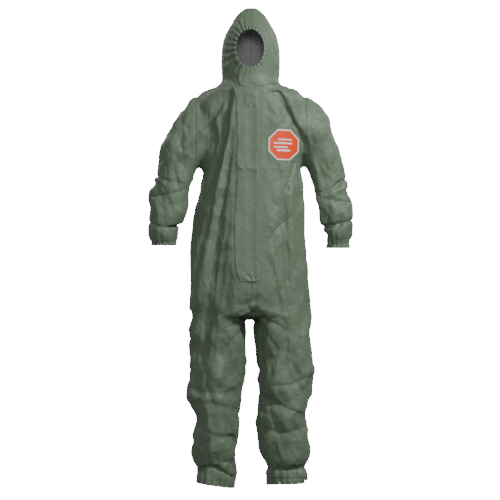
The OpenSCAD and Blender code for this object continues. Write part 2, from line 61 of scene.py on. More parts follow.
camera_data = bpy.data.cameras.new("camera")
camera_data.lens = 135
camera_data.sensor_width = VIEW_SPAN / LENS_DISTANCE * camera_data.lens
camera = bpy.data.objects.new("camera", camera_data)
camera.location = (-0.0038, -LENS_DISTANCE, (hem_z + peak_z) / 2 - 0.0175)
camera.rotation_euler = (np.pi / 2, 0, 0)
scene.collection.objects.link(camera)
scene.camera = camera

world = bpy.data.worlds.new("studio")
world.use_nodes = True
SKY_LIGHT = 0.20
SKY_SEEN = 20.0
LAMPS_ON_FLOOR = 0.35
sky = world.node_tree
seen = sky.nodes.new("ShaderNodeLightPath")
strength = sky.nodes.new("ShaderNodeMapRange")
strength.inputs["To Min"].default_value = SKY_LIGHT
strength.inputs["To Max"].default_value = SKY_SEEN
sky.links.new(seen.outputs["Is Camera Ray"], strength.inputs["Value"])
sky.links.new(strength.outputs["Result"], sky.nodes["Background"].inputs["Strength"])
sky.nodes["Background"].inputs["Color"].default_value = (1, 1, 1, 1)
scene.world = world


def lamp(name, place, aim, size, watts):
    """A square soft lamp at a place, turned to face a point."""
    data = bpy.data.lights.new(name, "AREA")
    data.size = size
    data.energy = watts
    thing = bpy.data.objects.new(name, data)
    thing.location = place
    thing.rotation_euler = (Vector(aim) - Vector(place)).to_track_quat("-Z", "Y").to_euler()
    scene.collection.objects.link(thing)


lamp("key", (2.1, -2.1, 1.6), (0, 0, -0.35), 0.6, 132)
lamp("fill", (-2.8, -3.0, 0.6), (0, 0, -0.6), 2.0, 22)
lamp("front", (0.1, -5.0, 0.6), (0, 0, -0.3), 0.8, 48)
lamp("rim_left", (-2.2, 2.2, 1.4), (0, 0, -0.5), 1.4, 22)
lamp("rim_right", (2.4, 2.4, 1.2), (0, 0, -0.5), 1.4, 22)
lamp("back", (-0.4, 5.0, 0.6), (0, 0, -0.4), 1.6, 60)

floor_mesh = bpy.data.meshes.new("floor")
floor_mesh.from_pydata([(-30, -30, 0), (30, -30, 0), (30, 30, 0), (-30, 30, 0)], [], [(0, 1, 2, 3)])
floor = bpy.data.objects.new("floor", floor_mesh)
floor.location.z = hem_z - 0.03
scene.collection.objects.link(floor)
floor_paint = bpy.data.materials.new("floor_paint")
floor_paint.use_nodes = True
floor_shader = floor_paint.node_tree.nodes["Principled BSDF"]
floor_shader.inputs["Base Color"].default_value = (0.80, 0.80, 0.80, 1)
floor_shader.inputs["Roughness"].default_value = 0.9
floor_shader.inputs["Specular IOR Level"].default_value = 0.0
floor_shader.inputs["Emission Color"].default_value = (1, 1, 1, 1)
floor_seen = floor_paint.node_tree.nodes.new("ShaderNodeLightPath")
floor_glow = floor_paint.node_tree.nodes.new("ShaderNodeMath")
floor_glow.operation = "MULTIPLY"
floor_glow.inputs[1].default_value = SKY_SEEN - LAMPS_ON_FLOOR
floor_paint.node_tree.links.new(floor_seen.outputs["Is Camera Ray"], floor_glow.inputs[0])
floor_paint.node_tree.links.new(floor_glow.outputs[0], floor_shader.inputs["Emission Strength"])
floor.visible_diffuse = False
floor.visible_glossy = False
floor_mesh.materials.append(floor_paint)

# ---- Garment form -------------------------------------------------------------------------------
# The laminate is cut in panels and sewn into one skin. Its worn shape is drawn first as lofted
# tubes for the trunk, sleeves, legs and hood, which then become one even skin of quads.
MM = 0.001
AROUND = 96


def link(name, mesh):
    """A new object at the origin that shows a mesh."""
    thing = bpy.data.objects.new(name, mesh)
    scene.collection.objects.link(thing)
    return thing


def grid_faces(rows, cols, wrap):
    """Corner numbers of the quads of a grid of rows x cols points, closed round its columns or not."""
    r, c = np.meshgrid(np.arange(rows - 1), np.arange(cols if wrap else cols - 1), indexing="ij")
    step = (c + 1) % cols
    here, above = r * cols, (r + 1) * cols
    return np.stack([here + c, here + step, above + step, above + c], -1).reshape(-1, 4)


def closed_tube(rings):
    """Mesh of a stack of rings, an array of rows x cols x 3, with a face over each end."""
    rows, cols, _ = rings.shape
    faces = [list(map(int, f)) for f in grid_faces(rows, cols, True)]
    faces.append(list(range(cols))[::-1])
    faces.append(list(range((rows - 1) * cols, rows * cols)))
    mesh = bpy.data.meshes.new("form")
    mesh.from_pydata(rings.reshape(-1, 3).tolist(), [], faces)
    return mesh


def dense(table, rows):
    """A table of stations, resampled to many rows along smooth curves through its columns.

    Each column is a Catmull-Rom curve: between stations, a cubic whose slope at a station is the
    slope between that station's neighbours."""
    table = np.asarray(table, float)
    at = np.linspace(0, len(table) - 1, rows)
    i = np.clip(at.astype(int), 0, len(table) - 2)
    t = (at - i)[:, None]
    p0, p1 = table[np.maximum(i - 1, 0)], table[i]
    p2, p3 = table[i + 1], table[np.minimum(i + 2, len(table) - 1)]
    return 0.5 * (2 * p1 + (p2 - p0) * t + (2 * p0 - 5 * p1 + 4 * p2 - p3) * t ** 2
                  + (3 * p1 - p0 - 3 * p2 + p3) * t ** 3)


def loft(table, square=2.0):
    """Rings through stations of centre x, y, z, tilt, half width, half depth in front and behind.

    A ring is a superellipse of power square. Tilt 90 lays it level and 0 stands it facing +X."""
    s = dense(table, 10 * len(table))[:, :, None]
    a = np.linspace(0, 2 * np.pi, AROUND, endpoint=False)[None, :]
    wide = np.sign(np.cos(a)) * np.abs(np.cos(a)) ** (2 / square)
    deep = np.sign(np.sin(a)) * np.abs(np.sin(a)) ** (2 / square)
    tilt = np.radians(s[:, 3])
    depth = np.where(deep < 0, s[:, 5], s[:, 6])
    x = s[:, 0] + s[:, 4] * wide * np.sin(tilt)
    y = s[:, 1] + depth * deep
    z = s[:, 2] + s[:, 4] * wide * np.cos(tilt)
    return np.stack([x, y, z], -1) * MM


# The front leans out from the neck to the belly at the zip's own slope, in mm.
NECK_TO_SEAT, LEAN = 745, 27.3


def front_depth(z):
    """How far the centre front stands ahead of the neck seam's centre, in mm, at a height in mm."""
    return 122 + np.clip(-z, 0, NECK_TO_SEAT) * LEAN / NECK_TO_SEAT


# Stations: height, centre x, half width, depth behind; heights are below the neck seam.
TRUNK = [(-868, -6, 140, 104), (-850, -8, 222, 118), (-815, -12, 239, 128), (-745, -16, 230, 136),
         (-660, -17, 228, 133), (-560, -14, 228, 124), (-460, -9, 217, 112), (-360, -3, 204, 106),
         (-270, 0, 200, 116), (-200, 0, 204, 124), (-120, 0, 212, 130), (-64, 0, 218, 130),
         (-34, 0, 212, 124), (-8, 2, 180, 108), (10, 2, 126, 92), (30, 0, 96, 78)]
trunk = loft([(x, 0, z, 90, w, front_depth(z) - (0 if z > -800 else (-800 - z) * 0.28), back)
              for z, x, w, back in TRUNK], 2.35)

# Stations: centre x, z, tilt, half width, half depth.
CUFF = [(338, -560, 90, 57, 57), (334, -580, 90, 47, 47), (333, -592, 90, 43, 43), (333, -604, 90, 44, 44),
        (333, -640, 90, 46, 46)]
SLEEVE_LEFT = [(118, -152, 0, 88, 66), (170, -148, 4, 110, 72), (212, -150, 12, 124, 76),
               (272, -222, 37, 88, 76), (299, -300, 60, 69, 70), (313, -362, 76, 58, 65),
               (327, -445, 88, 59, 65), (330, -515, 90, 60, 62), *CUFF]
SLEEVE_RIGHT = [(120, -152, 0, 88, 66), (170, -148, 4, 110, 72), (210, -150, 12, 124, 76),
                (273, -222, 37, 89, 77), (302, -300, 60, 74, 72), (318, -362, 76, 69, 68),
                (328, -445, 88, 71, 68), (332, -515, 90, 60, 62), *CUFF]
sleeves = [loft([(side * x, 0, z, side * tilt, w, d, d) for x, z, tilt, w, d in table])
           for side, table in ((1, SLEEVE_LEFT), (-1, SLEEVE_RIGHT))]

LEG_LEFT = [(120, -800, 90, 108, 116), (121, -880, 90, 108, 114), (121, -960, 90, 107, 110),
            (130, -1040, 90, 108, 104), (138, -1090, 90, 110, 103), (130, -1160, 90, 101, 99),
            (121, -1230, 90, 96, 95), (125, -1320, 90, 98, 92), (134, -1400, 90, 90, 88),
             (138, -1436, 90, 74, 76), (139, -1452, 90, 69, 70), (140, -1475, 90, 75, 74),
             (138, -1560, 90, 73, 71)]
LEG_RIGHT = [(120, -800, 90, 112, 116), (121, -880, 90, 112, 114), (121, -960, 90, 111, 110),
             (123, -1045, 90, 111, 104), (131, -1120, 90, 110, 101), (138, -1180, 90, 106, 98),
             (134, -1240, 90, 94, 92), (134, -1310, 90, 92, 90), (136, -1390, 90, 87, 86),
             (132, -1440, 90, 77, 76), (132, -1460, 90, 74, 71), (136, -1490, 90, 75, 73),
             (138, -1560, 90, 73, 71)]
legs = [loft([(side * x, 2, z, side * tilt, w, d, d) for x, z, tilt, w, d in table])
        for side, table in ((1, LEG_LEFT), (-1, LEG_RIGHT))]

# Stations: height, half width, depth in front, depth behind.
HOOD = [(-46, 84, 112, 74), (-18, 98, 118, 84), (8, 106, 119, 92), (40, 111, 119, 102), (80, 114, 121, 116),
        (130, 113, 120, 125), (170, 109, 114, 124), (210, 97, 98, 116), (250, 76, 70, 98),
        (285, 51, 34, 72), (305, 28, 6, 50), (313, 8, -20, 34)]
hood = loft([(0, 0, z, 90, w, ahead, behind) for z, w, ahead, behind in HOOD])

form = bmesh.new()
for rings in [trunk, hood, *sleeves, *legs]:
    form.from_mesh(closed_tube(rings))
bmesh.ops.recalc_face_normals(form, faces=form.faces)
skin_mesh = bpy.data.meshes.new("skin")
form.to_mesh(skin_mesh)
form.free()
skin = link("skin", skin_mesh)


def finish_modifiers(thing):
    """Bakes an object's modifiers into its mesh."""
    graph = bpy.context.evaluated_depsgraph_get()
    mesh = bpy.data.meshes.new_from_object(thing.evaluated_get(graph))
    thing.modifiers.clear()
    thing.data = mesh


SKIN_STEP = 8.5 * MM
remesh = skin.modifiers.new("even", "REMESH")
remesh.mode = "VOXEL"
remesh.voxel_size = SKIN_STEP
relax = skin.modifiers.new("relax", "SMOOTH")
relax.factor = 0.5
relax.iterations = 6
finish_modifiers(skin)

# The cuffs, hems and face are open: the skin is cut across at each of them.
CUFF_Z = {1: -0.612, -1: -0.602}
HEM_Z = {1: -1.507, -1: -1.517}
HEM_SLANT = {1: 0.13, -1: 0.17}
FACE_MID = Vector((-0.004, 0, 0.1455))
FACE_HALF = (0.055, 0.0745)


def cut(bm, point, normal, near, clear=False):
    """Cuts a bmesh along a plane where near(centre) is true; clear drops what is ahead of the plane."""
    faces = [f for f in bm.faces if near(f.calc_center_median())]
    verts = {v for f in faces for v in f.verts}
    edges = {e for f in faces for e in f.edges}
    bmesh.ops.bisect_plane(bm, geom=[*verts, *edges, *faces], plane_co=point, plane_no=normal,
                           clear_outer=clear, dist=2e-4)


bm = bmesh.new()
bm.from_mesh(skin.data)
for side in (1, -1):
    cut(bm, (0, 0, CUFF_Z[side]), (0, 0, -1), lambda c: c.x * side > 0.25 and c.z < -0.5, True)
    cut(bm, (side * 0.138, 0, HEM_Z[side]), (HEM_SLANT[side] * side, 0, -1),
        lambda c: c.x * side > 0 and c.z < -1.3, True)
bmesh.ops.delete(bm, geom=[f for f in bm.faces if f.calc_center_median().y < 0 and (
    ((f.calc_center_median().x - FACE_MID.x) / FACE_HALF[0]) ** 2
    + ((f.calc_center_median().z - FACE_MID.z) / FACE_HALF[1]) ** 2) < 1], context="FACES")
face_rim = [v.index for v in bm.verts if v.is_boundary and v.co.y < 0 and 0 < v.co.z < 0.26]
bm.to_mesh(skin.data)
bm.free()


def points_of(mesh):
    """The mesh's vertices as an array of n x 3."""
    flat = np.empty(len(mesh.vertices) * 3)
    mesh.vertices.foreach_get("co", flat)
    return flat.reshape(-1, 3)


def normals_of(mesh):
    """The mesh's vertex normals as an array of n x 3."""
    flat = np.empty(len(mesh.vertices) * 3)
    mesh.vertex_normals.foreach_get("vector", flat)
    return flat.reshape(-1, 3)


def smooth(low, high, value):
    """0 below low, 1 above high, and an S-shaped cubic between them."""
    t = np.clip((value - low) / (high - low), 0, 1)
    return t * t * (3 - 2 * t)


def face_distance(p):
    """How far a point is from the middle of the face opening, where the opening's edge is at 1."""
    return np.hypot((p[:, 0] - FACE_MID.x) / FACE_HALF[0], (p[:, 2] - FACE_MID.z) / FACE_HALF[1])


at = points_of(skin.data)
rim_share = 1 / face_distance(at[face_rim])
at[face_rim, 0] = FACE_MID.x + (at[face_rim, 0] - FACE_MID.x) * rim_share
at[face_rim, 2] = FACE_MID.z + (at[face_rim, 2] - FACE_MID.z) * rim_share
skin.data.vertices.foreach_set("co", at.ravel())
skin.data.update()

# ---- Folds --------------------------------------------------------------------------------------
# Creases that the wearer's stance puts in the laminate: pulls from neck to armpit, bends at elbow
# and knee, the gather at the crotch, and long drops down the trunk.
# Each fold: side it is on (-1 front, 1 back, 0 both), half width, depth (minus is a valley), points.
FOLDS = [
    (-1, 15, -7, [(-84, -33), (-100, -159), (-138, -293), (-176, -427)]),
    (-1, 13, 4, [(-66, -60), (-78, -170), (-108, -300), (-140, -430)]),
    (-1, 12, -5, [(-107, -37), (-150, -90), (-180, -150)]),
    (-1, 9, -4, [(-163, -102), (-157, -170), (-160, -236)]),
    (-1, 9, 5, [(-142, -110), (-138, -180), (-146, -240)]),
    (-1, 13, -5, [(107, -25), (140, -80), (163, -140)]),
    (-1, 12, -7, [(188, -236), (165, -300), (138, -385)]),
    (-1, 14, 3, [(170, -330), (150, -430), (148, -520)]),
    (-1, 16, -5, [(150, -496), (100, -540), (54, -600)]),
    (-1, 15, 4, [(165, -540), (110, -590), (70, -650)]),
    (-1, 18, -4, [(-138, -430), (-146, -560), (-150, -720)]),
    (-1, 18, 3, [(-95, -430), (-104, -560), (-100, -740)]),
    (-1, 18, -3, [(120, -400), (136, -560), (142, -740)]),
    (-1, 11, -7, [(8, -862), (-50, -890), (-112, -930)]),
    (-1, 11, -5, [(8, -880), (-40, -925), (-90, -985)]),
    (-1, 11, -7, [(14, -862), (75, -885), (135, -925)]),
    (-1, 11, -5, [(16, -880), (60, -930), (100, -995)]),
    (-1, 13, 7, [(0, -835), (-60, -850), (-130, -880)]),
    (-1, 13, 7, [(10, -835), (70, -850), (140, -870)]),
    (-1, 12, -4, [(-170, -800), (-176, -960), (-172, -1130)]),
    (-1, 13, -4, [(-232, -1140), (-160, -1158), (-62, -1160)]),
    (-1, 12, 2, [(-232, -1172), (-150, -1180), (-70, -1186)]),
    (-1, 12, -4, [(-228, -1205), (-150, -1200), (-60, -1225)]),
    (-1, 14, -6, [(42, -1172), (110, -1205), (190, -1242)]),
    (-1, 14, 2, [(40, -1205), (110, -1238), (180, -1272)]),
    (-1, 11, -4, [(225, -1100), (160, -1128), (90, -1130)]),
    (-1, 13, -4, [(210, -1290), (140, -1310), (60, -1300)]),
    (-1, 12, -4, [(-205, -1290), (-140, -1320), (-70, -1330)]),
    (-1, 9, -9, [(-207, -1465), (-145, -1440), (-73, -1486)]),
    (0, 8, -3, [(-385, -322), (-320, -352), (-250, -346)]),
    (0, 9, 2, [(-388, -340), (-320, -374), (-250, -372)]),
    (0, 8, -3, [(-390, -412), (-320, -392), (-252, -366)]),
    (0, 8, -3, [(370, -340), (310, -384), (245, -402)]),
    (0, 9, 2, [(372, -372), (310, -402), (252, -424)]),
    (0, 8, -3, [(378, -438), (320, -424), (256, -396)]),
    (0, 8, -6, [(-396, -512), (-330, -530), (-270, -520)]),
    (0, 8, -6, [(388, -505), (330, -522), (270, -530)]),
    (1, 16, -6, [(-150, -60), (-60, -110), (60, -112), (150, -64)]),
    (1, 16, -4, [(-165, -180), (-80, -290), (-30, -420)]),
    (1, 16, -4, [(165, -180), (84, -300), (26, -440)]),
    (1, 20, 8, [(-120, -330), (-90, -520), (-110, -720)]),
    (1, 20, 8, [(110, -350), (96, -520), (120, -700)]),
    (1, 14, -11, [(-4, -850), (-70, -868), (-150, -850)]),
    (1, 14, -11, [(4, -856), (70, -872), (150, -846)]),
    (1, 13, -5, [(-215, -1050), (-140, -1072), (-50, -1060)]),
    (1, 13, -5, [(-215, -1100), (-140, -1112), (-50, -1120)]),
    (1, 13, -5, [(220, -1058), (140, -1080), (50, -1060)]),
    (1, 13, -5, [(220, -1108), (140, -1120), (50, -1124)]),
    (-1, 10, -5, [(-96, 62), (-70, 20), (-44, -12)]),
    (-1, 10, -5, [(98, 66), (76, 24), (52, -12)]),
    (1, 14, -7, [(-86, 130), (-40, 40), (0, -10)]),
    (1, 14, -7, [(86, 130), (40, 44), (4, -10)]),
]


def distance_to(line, x, z):
    """Distance in the front view from points x, z to the nearest part of a line through points."""
    best = np.full(len(x), 1e9)
    for (ax, az), (bx, bz) in zip(line, line[1:]):
        span = (bx - ax) ** 2 + (bz - az) ** 2
        t = np.clip(((x - ax) * (bx - ax) + (z - az) * (bz - az)) / span, 0, 1)
        best = np.minimum(best, np.hypot(x - ax - t * (bx - ax), z - az - t * (bz - az)))
    return best


def folded(p, n, profile):
    """How far all FOLDS push points with normals n outwards, in metres.

    profile(d, half_width, depth) is a fold's height in mm at the distance d in mm from its line."""
    total = np.zeros(len(p))
    for side, half_width, depth, line in FOLDS:
        facing = np.ones(len(p)) if side == 0 else smooth(0.0, 0.35, n[:, 1] * side)
        d = distance_to(dense(line, 12), p[:, 0] / MM, p[:, 2] / MM)
        total += profile(d, half_width, depth) * MM * facing
    return total


at = points_of(skin.data)
out = normals_of(skin.data)
push = folded(at, out, lambda d, half_width, depth: depth * np.exp(-(d / half_width) ** 2))

# The zip, the flaps and the label need flat laminate under them.
front = smooth(0.0, 0.3, -out[:, 1])
flat_band = front * (1 - smooth(0.050, 0.085, np.abs(at[:, 0]))) * smooth(-0.80, -0.74, at[:, 2])
LABEL_MID = ((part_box("label_border")[0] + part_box("label_border")[1]) / 2)
from_label = np.hypot(at[:, 0] - LABEL_MID.x, at[:, 2] - LABEL_MID.z)
flat_label = front * (1 - smooth(0.055, 0.085, from_label))
push *= (1 - flat_band) * (1 - 0.9 * flat_label)
at = at + out * push[:, None]
skin.data.vertices.foreach_set("co", at.ravel())

# ---- Cloth --------------------------------------------------------------------------------------
# The laminate is crisp and barely stretches. The cut is longer than the worn shape, most of all at
# the elbows, crotch, knees and ankles, so the spare length buckles into creases.


def spare_length(z, zones, base):
    """How far down a point lies on the cut for spare length base plus that of each zone.

    A zone is middle, half height, extra share; the running sum of the share over height is taken."""
    steps = np.linspace(0.35, -1.62, 1600)
    share = np.full(len(steps), base)
    for middle, half, extra in zones:
        share += extra * np.exp(-((steps - middle) / half) ** 2)
    total = np.concatenate([[0], np.cumsum(share[1:] * -np.diff(steps))])
    return -np.interp(-z, -steps, total)


def cut_shape(p):
    """The cut's points: wider round every limb, and longer down sleeves, trunk and legs."""
    sleeve = smooth(0.205, 0.225, np.abs(p[:, 0])) * smooth(-0.22, -0.26, p[:, 2]) * (p[:, 2] > -0.66)
    trunk_drop = spare_length(p[:, 2], [(-0.85, 0.07, 0.05), (-1.08, 0.10, 0.02), (-1.22, 0.08, 0.03),
                                        (-1.42, 0.05, 0.08), (-0.31, 0.03, 0.02)], 0.018)
    sleeve_drop = spare_length(p[:, 2], [(-0.38, 0.06, 0.02), (-0.56, 0.04, 0.06)], 0.018)
    girth = 1.02 + 0.02 * smooth(-0.9, -1.1, p[:, 2])
    return np.stack([p[:, 0] * girth, p[:, 1] * girth,
                     p[:, 2] + np.where(sleeve > 0.5, sleeve_drop, trunk_drop)], -1)


skin.shape_key_add(name="worn")
cut_key = skin.shape_key_add(name="cut")
cut_key.data.foreach_set("co", cut_shape(at).ravel())

ring = np.abs(at[:, 0]) > 0.25
cuff = ring * smooth(-0.560, -0.582, at[:, 2]) * (at[:, 2] > -0.66)
hem = smooth(-1.455, -1.490, at[:, 2])
rim = (at[:, 1] < 0) * (1 - smooth(1.05, 1.35, face_distance(at)))
hold = 0.05 + 0.10 * smooth(-0.06, 0.0, at[:, 2]) + 0.5 * flat_label
hold = np.clip(np.maximum.reduce([hold, flat_band, cuff, hem, rim]), 0, 1)
group = skin.vertex_groups.new(name="hold")
for level in np.unique(np.round(hold, 2)):
    members = np.flatnonzero(np.round(hold, 2) == level)
    group.add([int(i) for i in members], float(level), "REPLACE")

CLOTH_FRAMES = 22
cloth = skin.modifiers.new("cloth", "CLOTH")
cloth.settings.quality = 6
cloth.settings.mass = 0.15
cloth.settings.tension_stiffness = 40
cloth.settings.compression_stiffness = 40
cloth.settings.shear_stiffness = 20
cloth.settings.bending_stiffness = 0.5
cloth.settings.tension_damping = 15
cloth.settings.compression_damping = 15
cloth.settings.shear_damping = 15
cloth.settings.bending_damping = 0.5
cloth.settings.air_damping = 4
cloth.settings.vertex_group_mass = "hold"
cloth.settings.pin_stiffness = 1.0
cloth.settings.rest_shape_key = cut_key
cloth.settings.effector_weights.gravity = 0.12
cloth.collision_settings.use_collision = False
cloth.point_cache.frame_end = CLOTH_FRAMES
for frame_number in range(1, CLOTH_FRAMES + 1):
    scene.frame_set(frame_number)
graph = bpy.context.evaluated_depsgraph_get()
draped = points_of(skin.evaluated_get(graph).data)
skin.modifiers.clear()
skin.shape_key_clear()
MOST_MOVE = 0.022
moved = draped - at
length = np.linalg.norm(moved, axis=1, keepdims=True)
at = at + moved * np.minimum(1, MOST_MOVE / np.maximum(length, 1e-9))
skin.data.vertices.foreach_set("co", at.ravel())
skin.data.update()
scene.frame_set(1)

# ---- Gathers and seams --------------------------------------------------------------------------
# Elastic is sewn into the face opening, cuffs and hems, and draws the laminate into small pleats
# that run out from it. The sewn and taped seams pull a shallow, puckered valley along their line.
refine = skin.modifiers.new("refine", "SUBSURF")
refine.levels = 1
refine.render_levels = 1
finish_modifiers(skin)
ARMHOLE_X = (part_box("front_left")[1].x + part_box("armhole_left")[0].x) / 2
NECK_POINT = Vector((0, -0.122, -0.025))
NECK_UP = Vector((0, -0.234, 0.972)).normalized()
SLOT_HALF = 0.015
SLOT_END = -0.728
VALLEY_CREASE, RIDGE_CREASE = 0.62, 0.25


def pleats(angle, count, seed):
    """Uneven pleats round an opening, from -1 to 1, with rounded ridges and sharp valleys.

    The absolute sine of half a phase that grows with the angle and wanders by slow sines."""
    draw = np.random.default_rng(seed)
    wander = sum(draw.uniform(0.2, 1.1) / k * np.sin(k * angle + draw.uniform(0, 6.28)) for k in range(1, 5))
    return 2 * np.abs(np.sin((count * angle + 2.6 * wander) / 2)) ** 0.8 - 1


def crumple(p, period, seed, count=7):
    """Straight folds in patches, from 0 to 1: each direction's triangle wave, weighted by a patch.

    A wave's phase runs along a random direction and is bent by a slow sine; its patch is the
    squared sine of another slow phase."""
    draw = np.random.default_rng(seed)
    height = np.zeros(len(p))
    weight = np.full(len(p), 1e-3)
    for _ in range(count):
        along, across, bend = draw.normal(size=(3, 3))
        along /= np.linalg.norm(along) * period
        phase = p @ along + 0.45 * np.sin(p @ bend / period * 0.55 + draw.uniform(0, 6.28))
        phase += draw.uniform(0, 1)
        patch = np.sin(p @ across / period * 0.5 + draw.uniform(0, 6.28)) ** 4
        height += patch * np.abs(2 * (phase % 1) - 1)
        weight += patch
    return height / weight


def facets(p, size, seed):
    """Flat facets with crisp folds between them, from 0 to 1.

    Space is turned and gently bent, then cut in cubes and each cube in six tetrahedra. Every corner
    has a random height, and a point's height is the even blend over its tetrahedron's corners."""
    draw = np.random.default_rng(seed)
    turn = np.linalg.qr(draw.normal(size=(3, 3)))[0]
    q = (p * (1, 1, 0.62)) @ turn / size
    q = q + 0.22 * np.sin(q[:, [1, 2, 0]] * 1.9 + draw.uniform(0, 6, 3)) + 500
    cell = np.floor(q).astype(np.int64)
    part = q - cell
    order = np.argsort(-part, axis=1)
    part = np.take_along_axis(part, order, 1)
    share = np.stack([1 - part[:, 0], part[:, 0] - part[:, 1], part[:, 1] - part[:, 2], part[:, 2]], 1)
    height = np.zeros(len(p))
    for k in range(4):
        mixed = (cell[:, 0] * 73856093) ^ (cell[:, 1] * 19349663) ^ (cell[:, 2] * 83492791) ^ (seed * 2654435)
        mixed = (mixed ^ (mixed >> 13)) * 1274126177 & 0x7FFFFFFF
        height += share[:, k] * ((mixed >> 8) % 4096) / 4095
        if k < 3:
            cell = cell + np.eye(3, dtype=np.int64)[order[:, k]]
    return height


def tucks(x, z):
    """A wandering row of small tucks across the chest, from 0 to 1.

    A bell curve of the height from the row, times the cube of a sine along it."""
    row = np.exp(-((z + 0.312 + 0.004 * np.sin(x * 60)) / 0.006) ** 2)
    return row * (0.5 + 0.5 * np.sin(x * 300 + 2 * np.sin(x * 90))) ** 3


def seam_gap(p):
    """Distance in mm from each point to the nearest seam, and at most 40."""
    x, y, z = p.T
    hood_here = ((p - np.array(NECK_POINT)) @ np.array(NECK_UP) > 0) & (np.abs(x) < 0.16) & (z > -0.05)
    far = 0.04
    lines = [(np.abs((p - np.array(NECK_POINT)) @ np.array(NECK_UP)),
              (np.abs(x) < 0.16) & (np.abs(z) < 0.07) & ((y > 0) | (np.abs(x) > 0.07))),
             (np.abs(np.abs(x) - ARMHOLE_X), (z > -0.285) & (z < -0.02) & ~hood_here),
             (np.abs(x), (y > 0) | (z < SLOT_END - 0.008) | (z > FACE_MID.z)),
             (np.abs(y), (z < -0.27) & (np.abs(x) < 0.25) | (z > -0.15) & ~hood_here & (np.abs(x) < 0.21))]
    for side in (1, -1):
        lines.append((np.abs(z - CUFF_Z[side] - 0.016), (x * side > 0.25) & (z < -0.5)))
        lines.append((np.abs(z - HEM_Z[side] - 0.020), (x * side > 0) & (z < -1.4)))
    return 1000 * np.minimum.reduce([np.where(where, np.minimum(gap, far), far) for gap, where in lines])


at = points_of(skin.data)
out = normals_of(skin.data)
push = np.zeros(len(at))
# Elastic, its count of pleats and their seed.
GATHERED = {"wrist_elastic": (17, 11), "ankle_elastic": (15, 21)}
# Elastic, the zone it gathers (least x, greatest and least z), the pleats' depth and where they end.
GATHER_ZONES = [("wrist_elastic", 0.25, -0.5, -0.66, 0.0022, 0.065, 0.012),
                ("ankle_elastic", 0.0, -1.35, -9.0, 0.0027, 0.085, 0.02)]
for side, word in ((1, "left"), (-1, "right")):
    for name, past, below, above, deep, far, close in GATHER_ZONES:
        low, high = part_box(f"{name}_{word}")
        middle = (low + high) / 2
        angle = np.arctan2(at[:, 1], at[:, 0] - middle.x)
        near = (at[:, 0] * side > past) * (at[:, 2] < below) * (at[:, 2] > above)
        count, seed = GATHERED[name]
        push += near * pleats(angle, count, seed + side) * deep * smooth(far, close, at[:, 2] - middle.z)
FACE_PLEATS = 26
FACE_SEED = 5


def face_pleat(x, z):
    """Height of the pleats that run out from the face opening, deepest on the wearer's right."""
    offset_x, offset_z = (x - FACE_MID.x) / FACE_HALF[0], (z - FACE_MID.z) / FACE_HALF[1]
    reach = 1.80 - 0.50 * np.clip(offset_x, -1, 1)
    deep = 0.0034 - 0.0022 * np.clip(offset_x, -1, 1)
    return (pleats(np.arctan2(offset_z, offset_x), FACE_PLEATS, FACE_SEED) * deep
            * smooth(reach, 1.0, np.hypot(offset_x, offset_z)))


push += (at[:, 1] < -0.01) * (at[:, 2] > 0.02) * face_pleat(at[:, 0], at[:, 2])
SEAM = seam_gap(at)
pucker = 0.5 + 0.5 * np.cos(2 * np.pi * (at @ np.array([0.7, 0.6, 1.0])) / 0.015
                            + 3 * np.sin(at @ np.array([31, 17, 43.0])))
push += -0.0011 * np.exp(-(SEAM / 3.2) ** 2) + 0.0010 * pucker * np.exp(-((SEAM - 8) / 4.5) ** 2)
front = smooth(0.0, 0.3, -out[:, 1])
flat_band = front * (1 - smooth(0.036, 0.070, np.abs(at[:, 0]))) * smooth(-0.80, -0.74, at[:, 2])
from_label = np.hypot(at[:, 0] - LABEL_MID.x, at[:, 2] - LABEL_MID.z)
flat_label = front * (1 - smooth(0.058, 0.080, from_label))
crease = folded(at, out, lambda d, half_width, depth: (
    (VALLEY_CREASE if depth < 0 else RIDGE_CREASE) * depth * np.exp(-d / (0.45 * half_width))))
push += crease * (1 - flat_band) * (1 - flat_label)
calm = (1 - 0.92 * flat_band) * (1 - 0.95 * flat_label) * (1 - 0.6 * smooth(-0.02, 0.05, at[:, 2]))
lively = 0.75 + 0.6 * smooth(-0.85, -1.05, at[:, 2]) + 0.5 * smooth(0.20, 0.26, np.abs(at[:, 0]))
push += calm * lively * (0.0035 * (crumple(at, 0.095, 3) - 0.5) + 0.0150 * (facets(at, 0.085, 31) - 0.5)
                          + 0.0125 * (facets(at, 0.041, 32) - 0.5) + 0.0048 * (facets(at, 0.020, 33) - 0.5))
push += 0.0032 * tucks(at[:, 0], at[:, 2]) * front * (np.abs(at[:, 0]) < 0.14)
at = at + out * push[:, None]

# Beside the zip the fronts turn in to meet its tapes, and under the label the chest lies even.
turn_in = (at[:, 1] < 0) * (at[:, 2] > SLOT_END - 0.01) * (at[:, 2] < -0.028)
at[:, 1] += 0.0042 * turn_in * (1 - smooth(0.014, 0.024, np.abs(at[:, 0])))


def even_terms(x, z):
    """Terms of a surface that bends once each way."""
    u, v = (x - LABEL_MID.x) / 0.06, (z - LABEL_MID.z) / 0.06
    return np.stack([np.ones_like(u), u, v, u * u, u * v, v * v], -1)


near = (from_label < 0.062) & (at[:, 1] < 0)
even_fit = np.linalg.lstsq(even_terms(at[near, 0], at[near, 2]), at[near, 1], rcond=None)[0]
even_share = (at[:, 1] < 0) * (1 - smooth(0.062, 0.085, from_label))
at[:, 1] += even_share * (even_terms(at[:, 0], at[:, 2]) @ even_fit - at[:, 1])
skin.data.vertices.foreach_set("co", at.ravel())
skin.data.update()
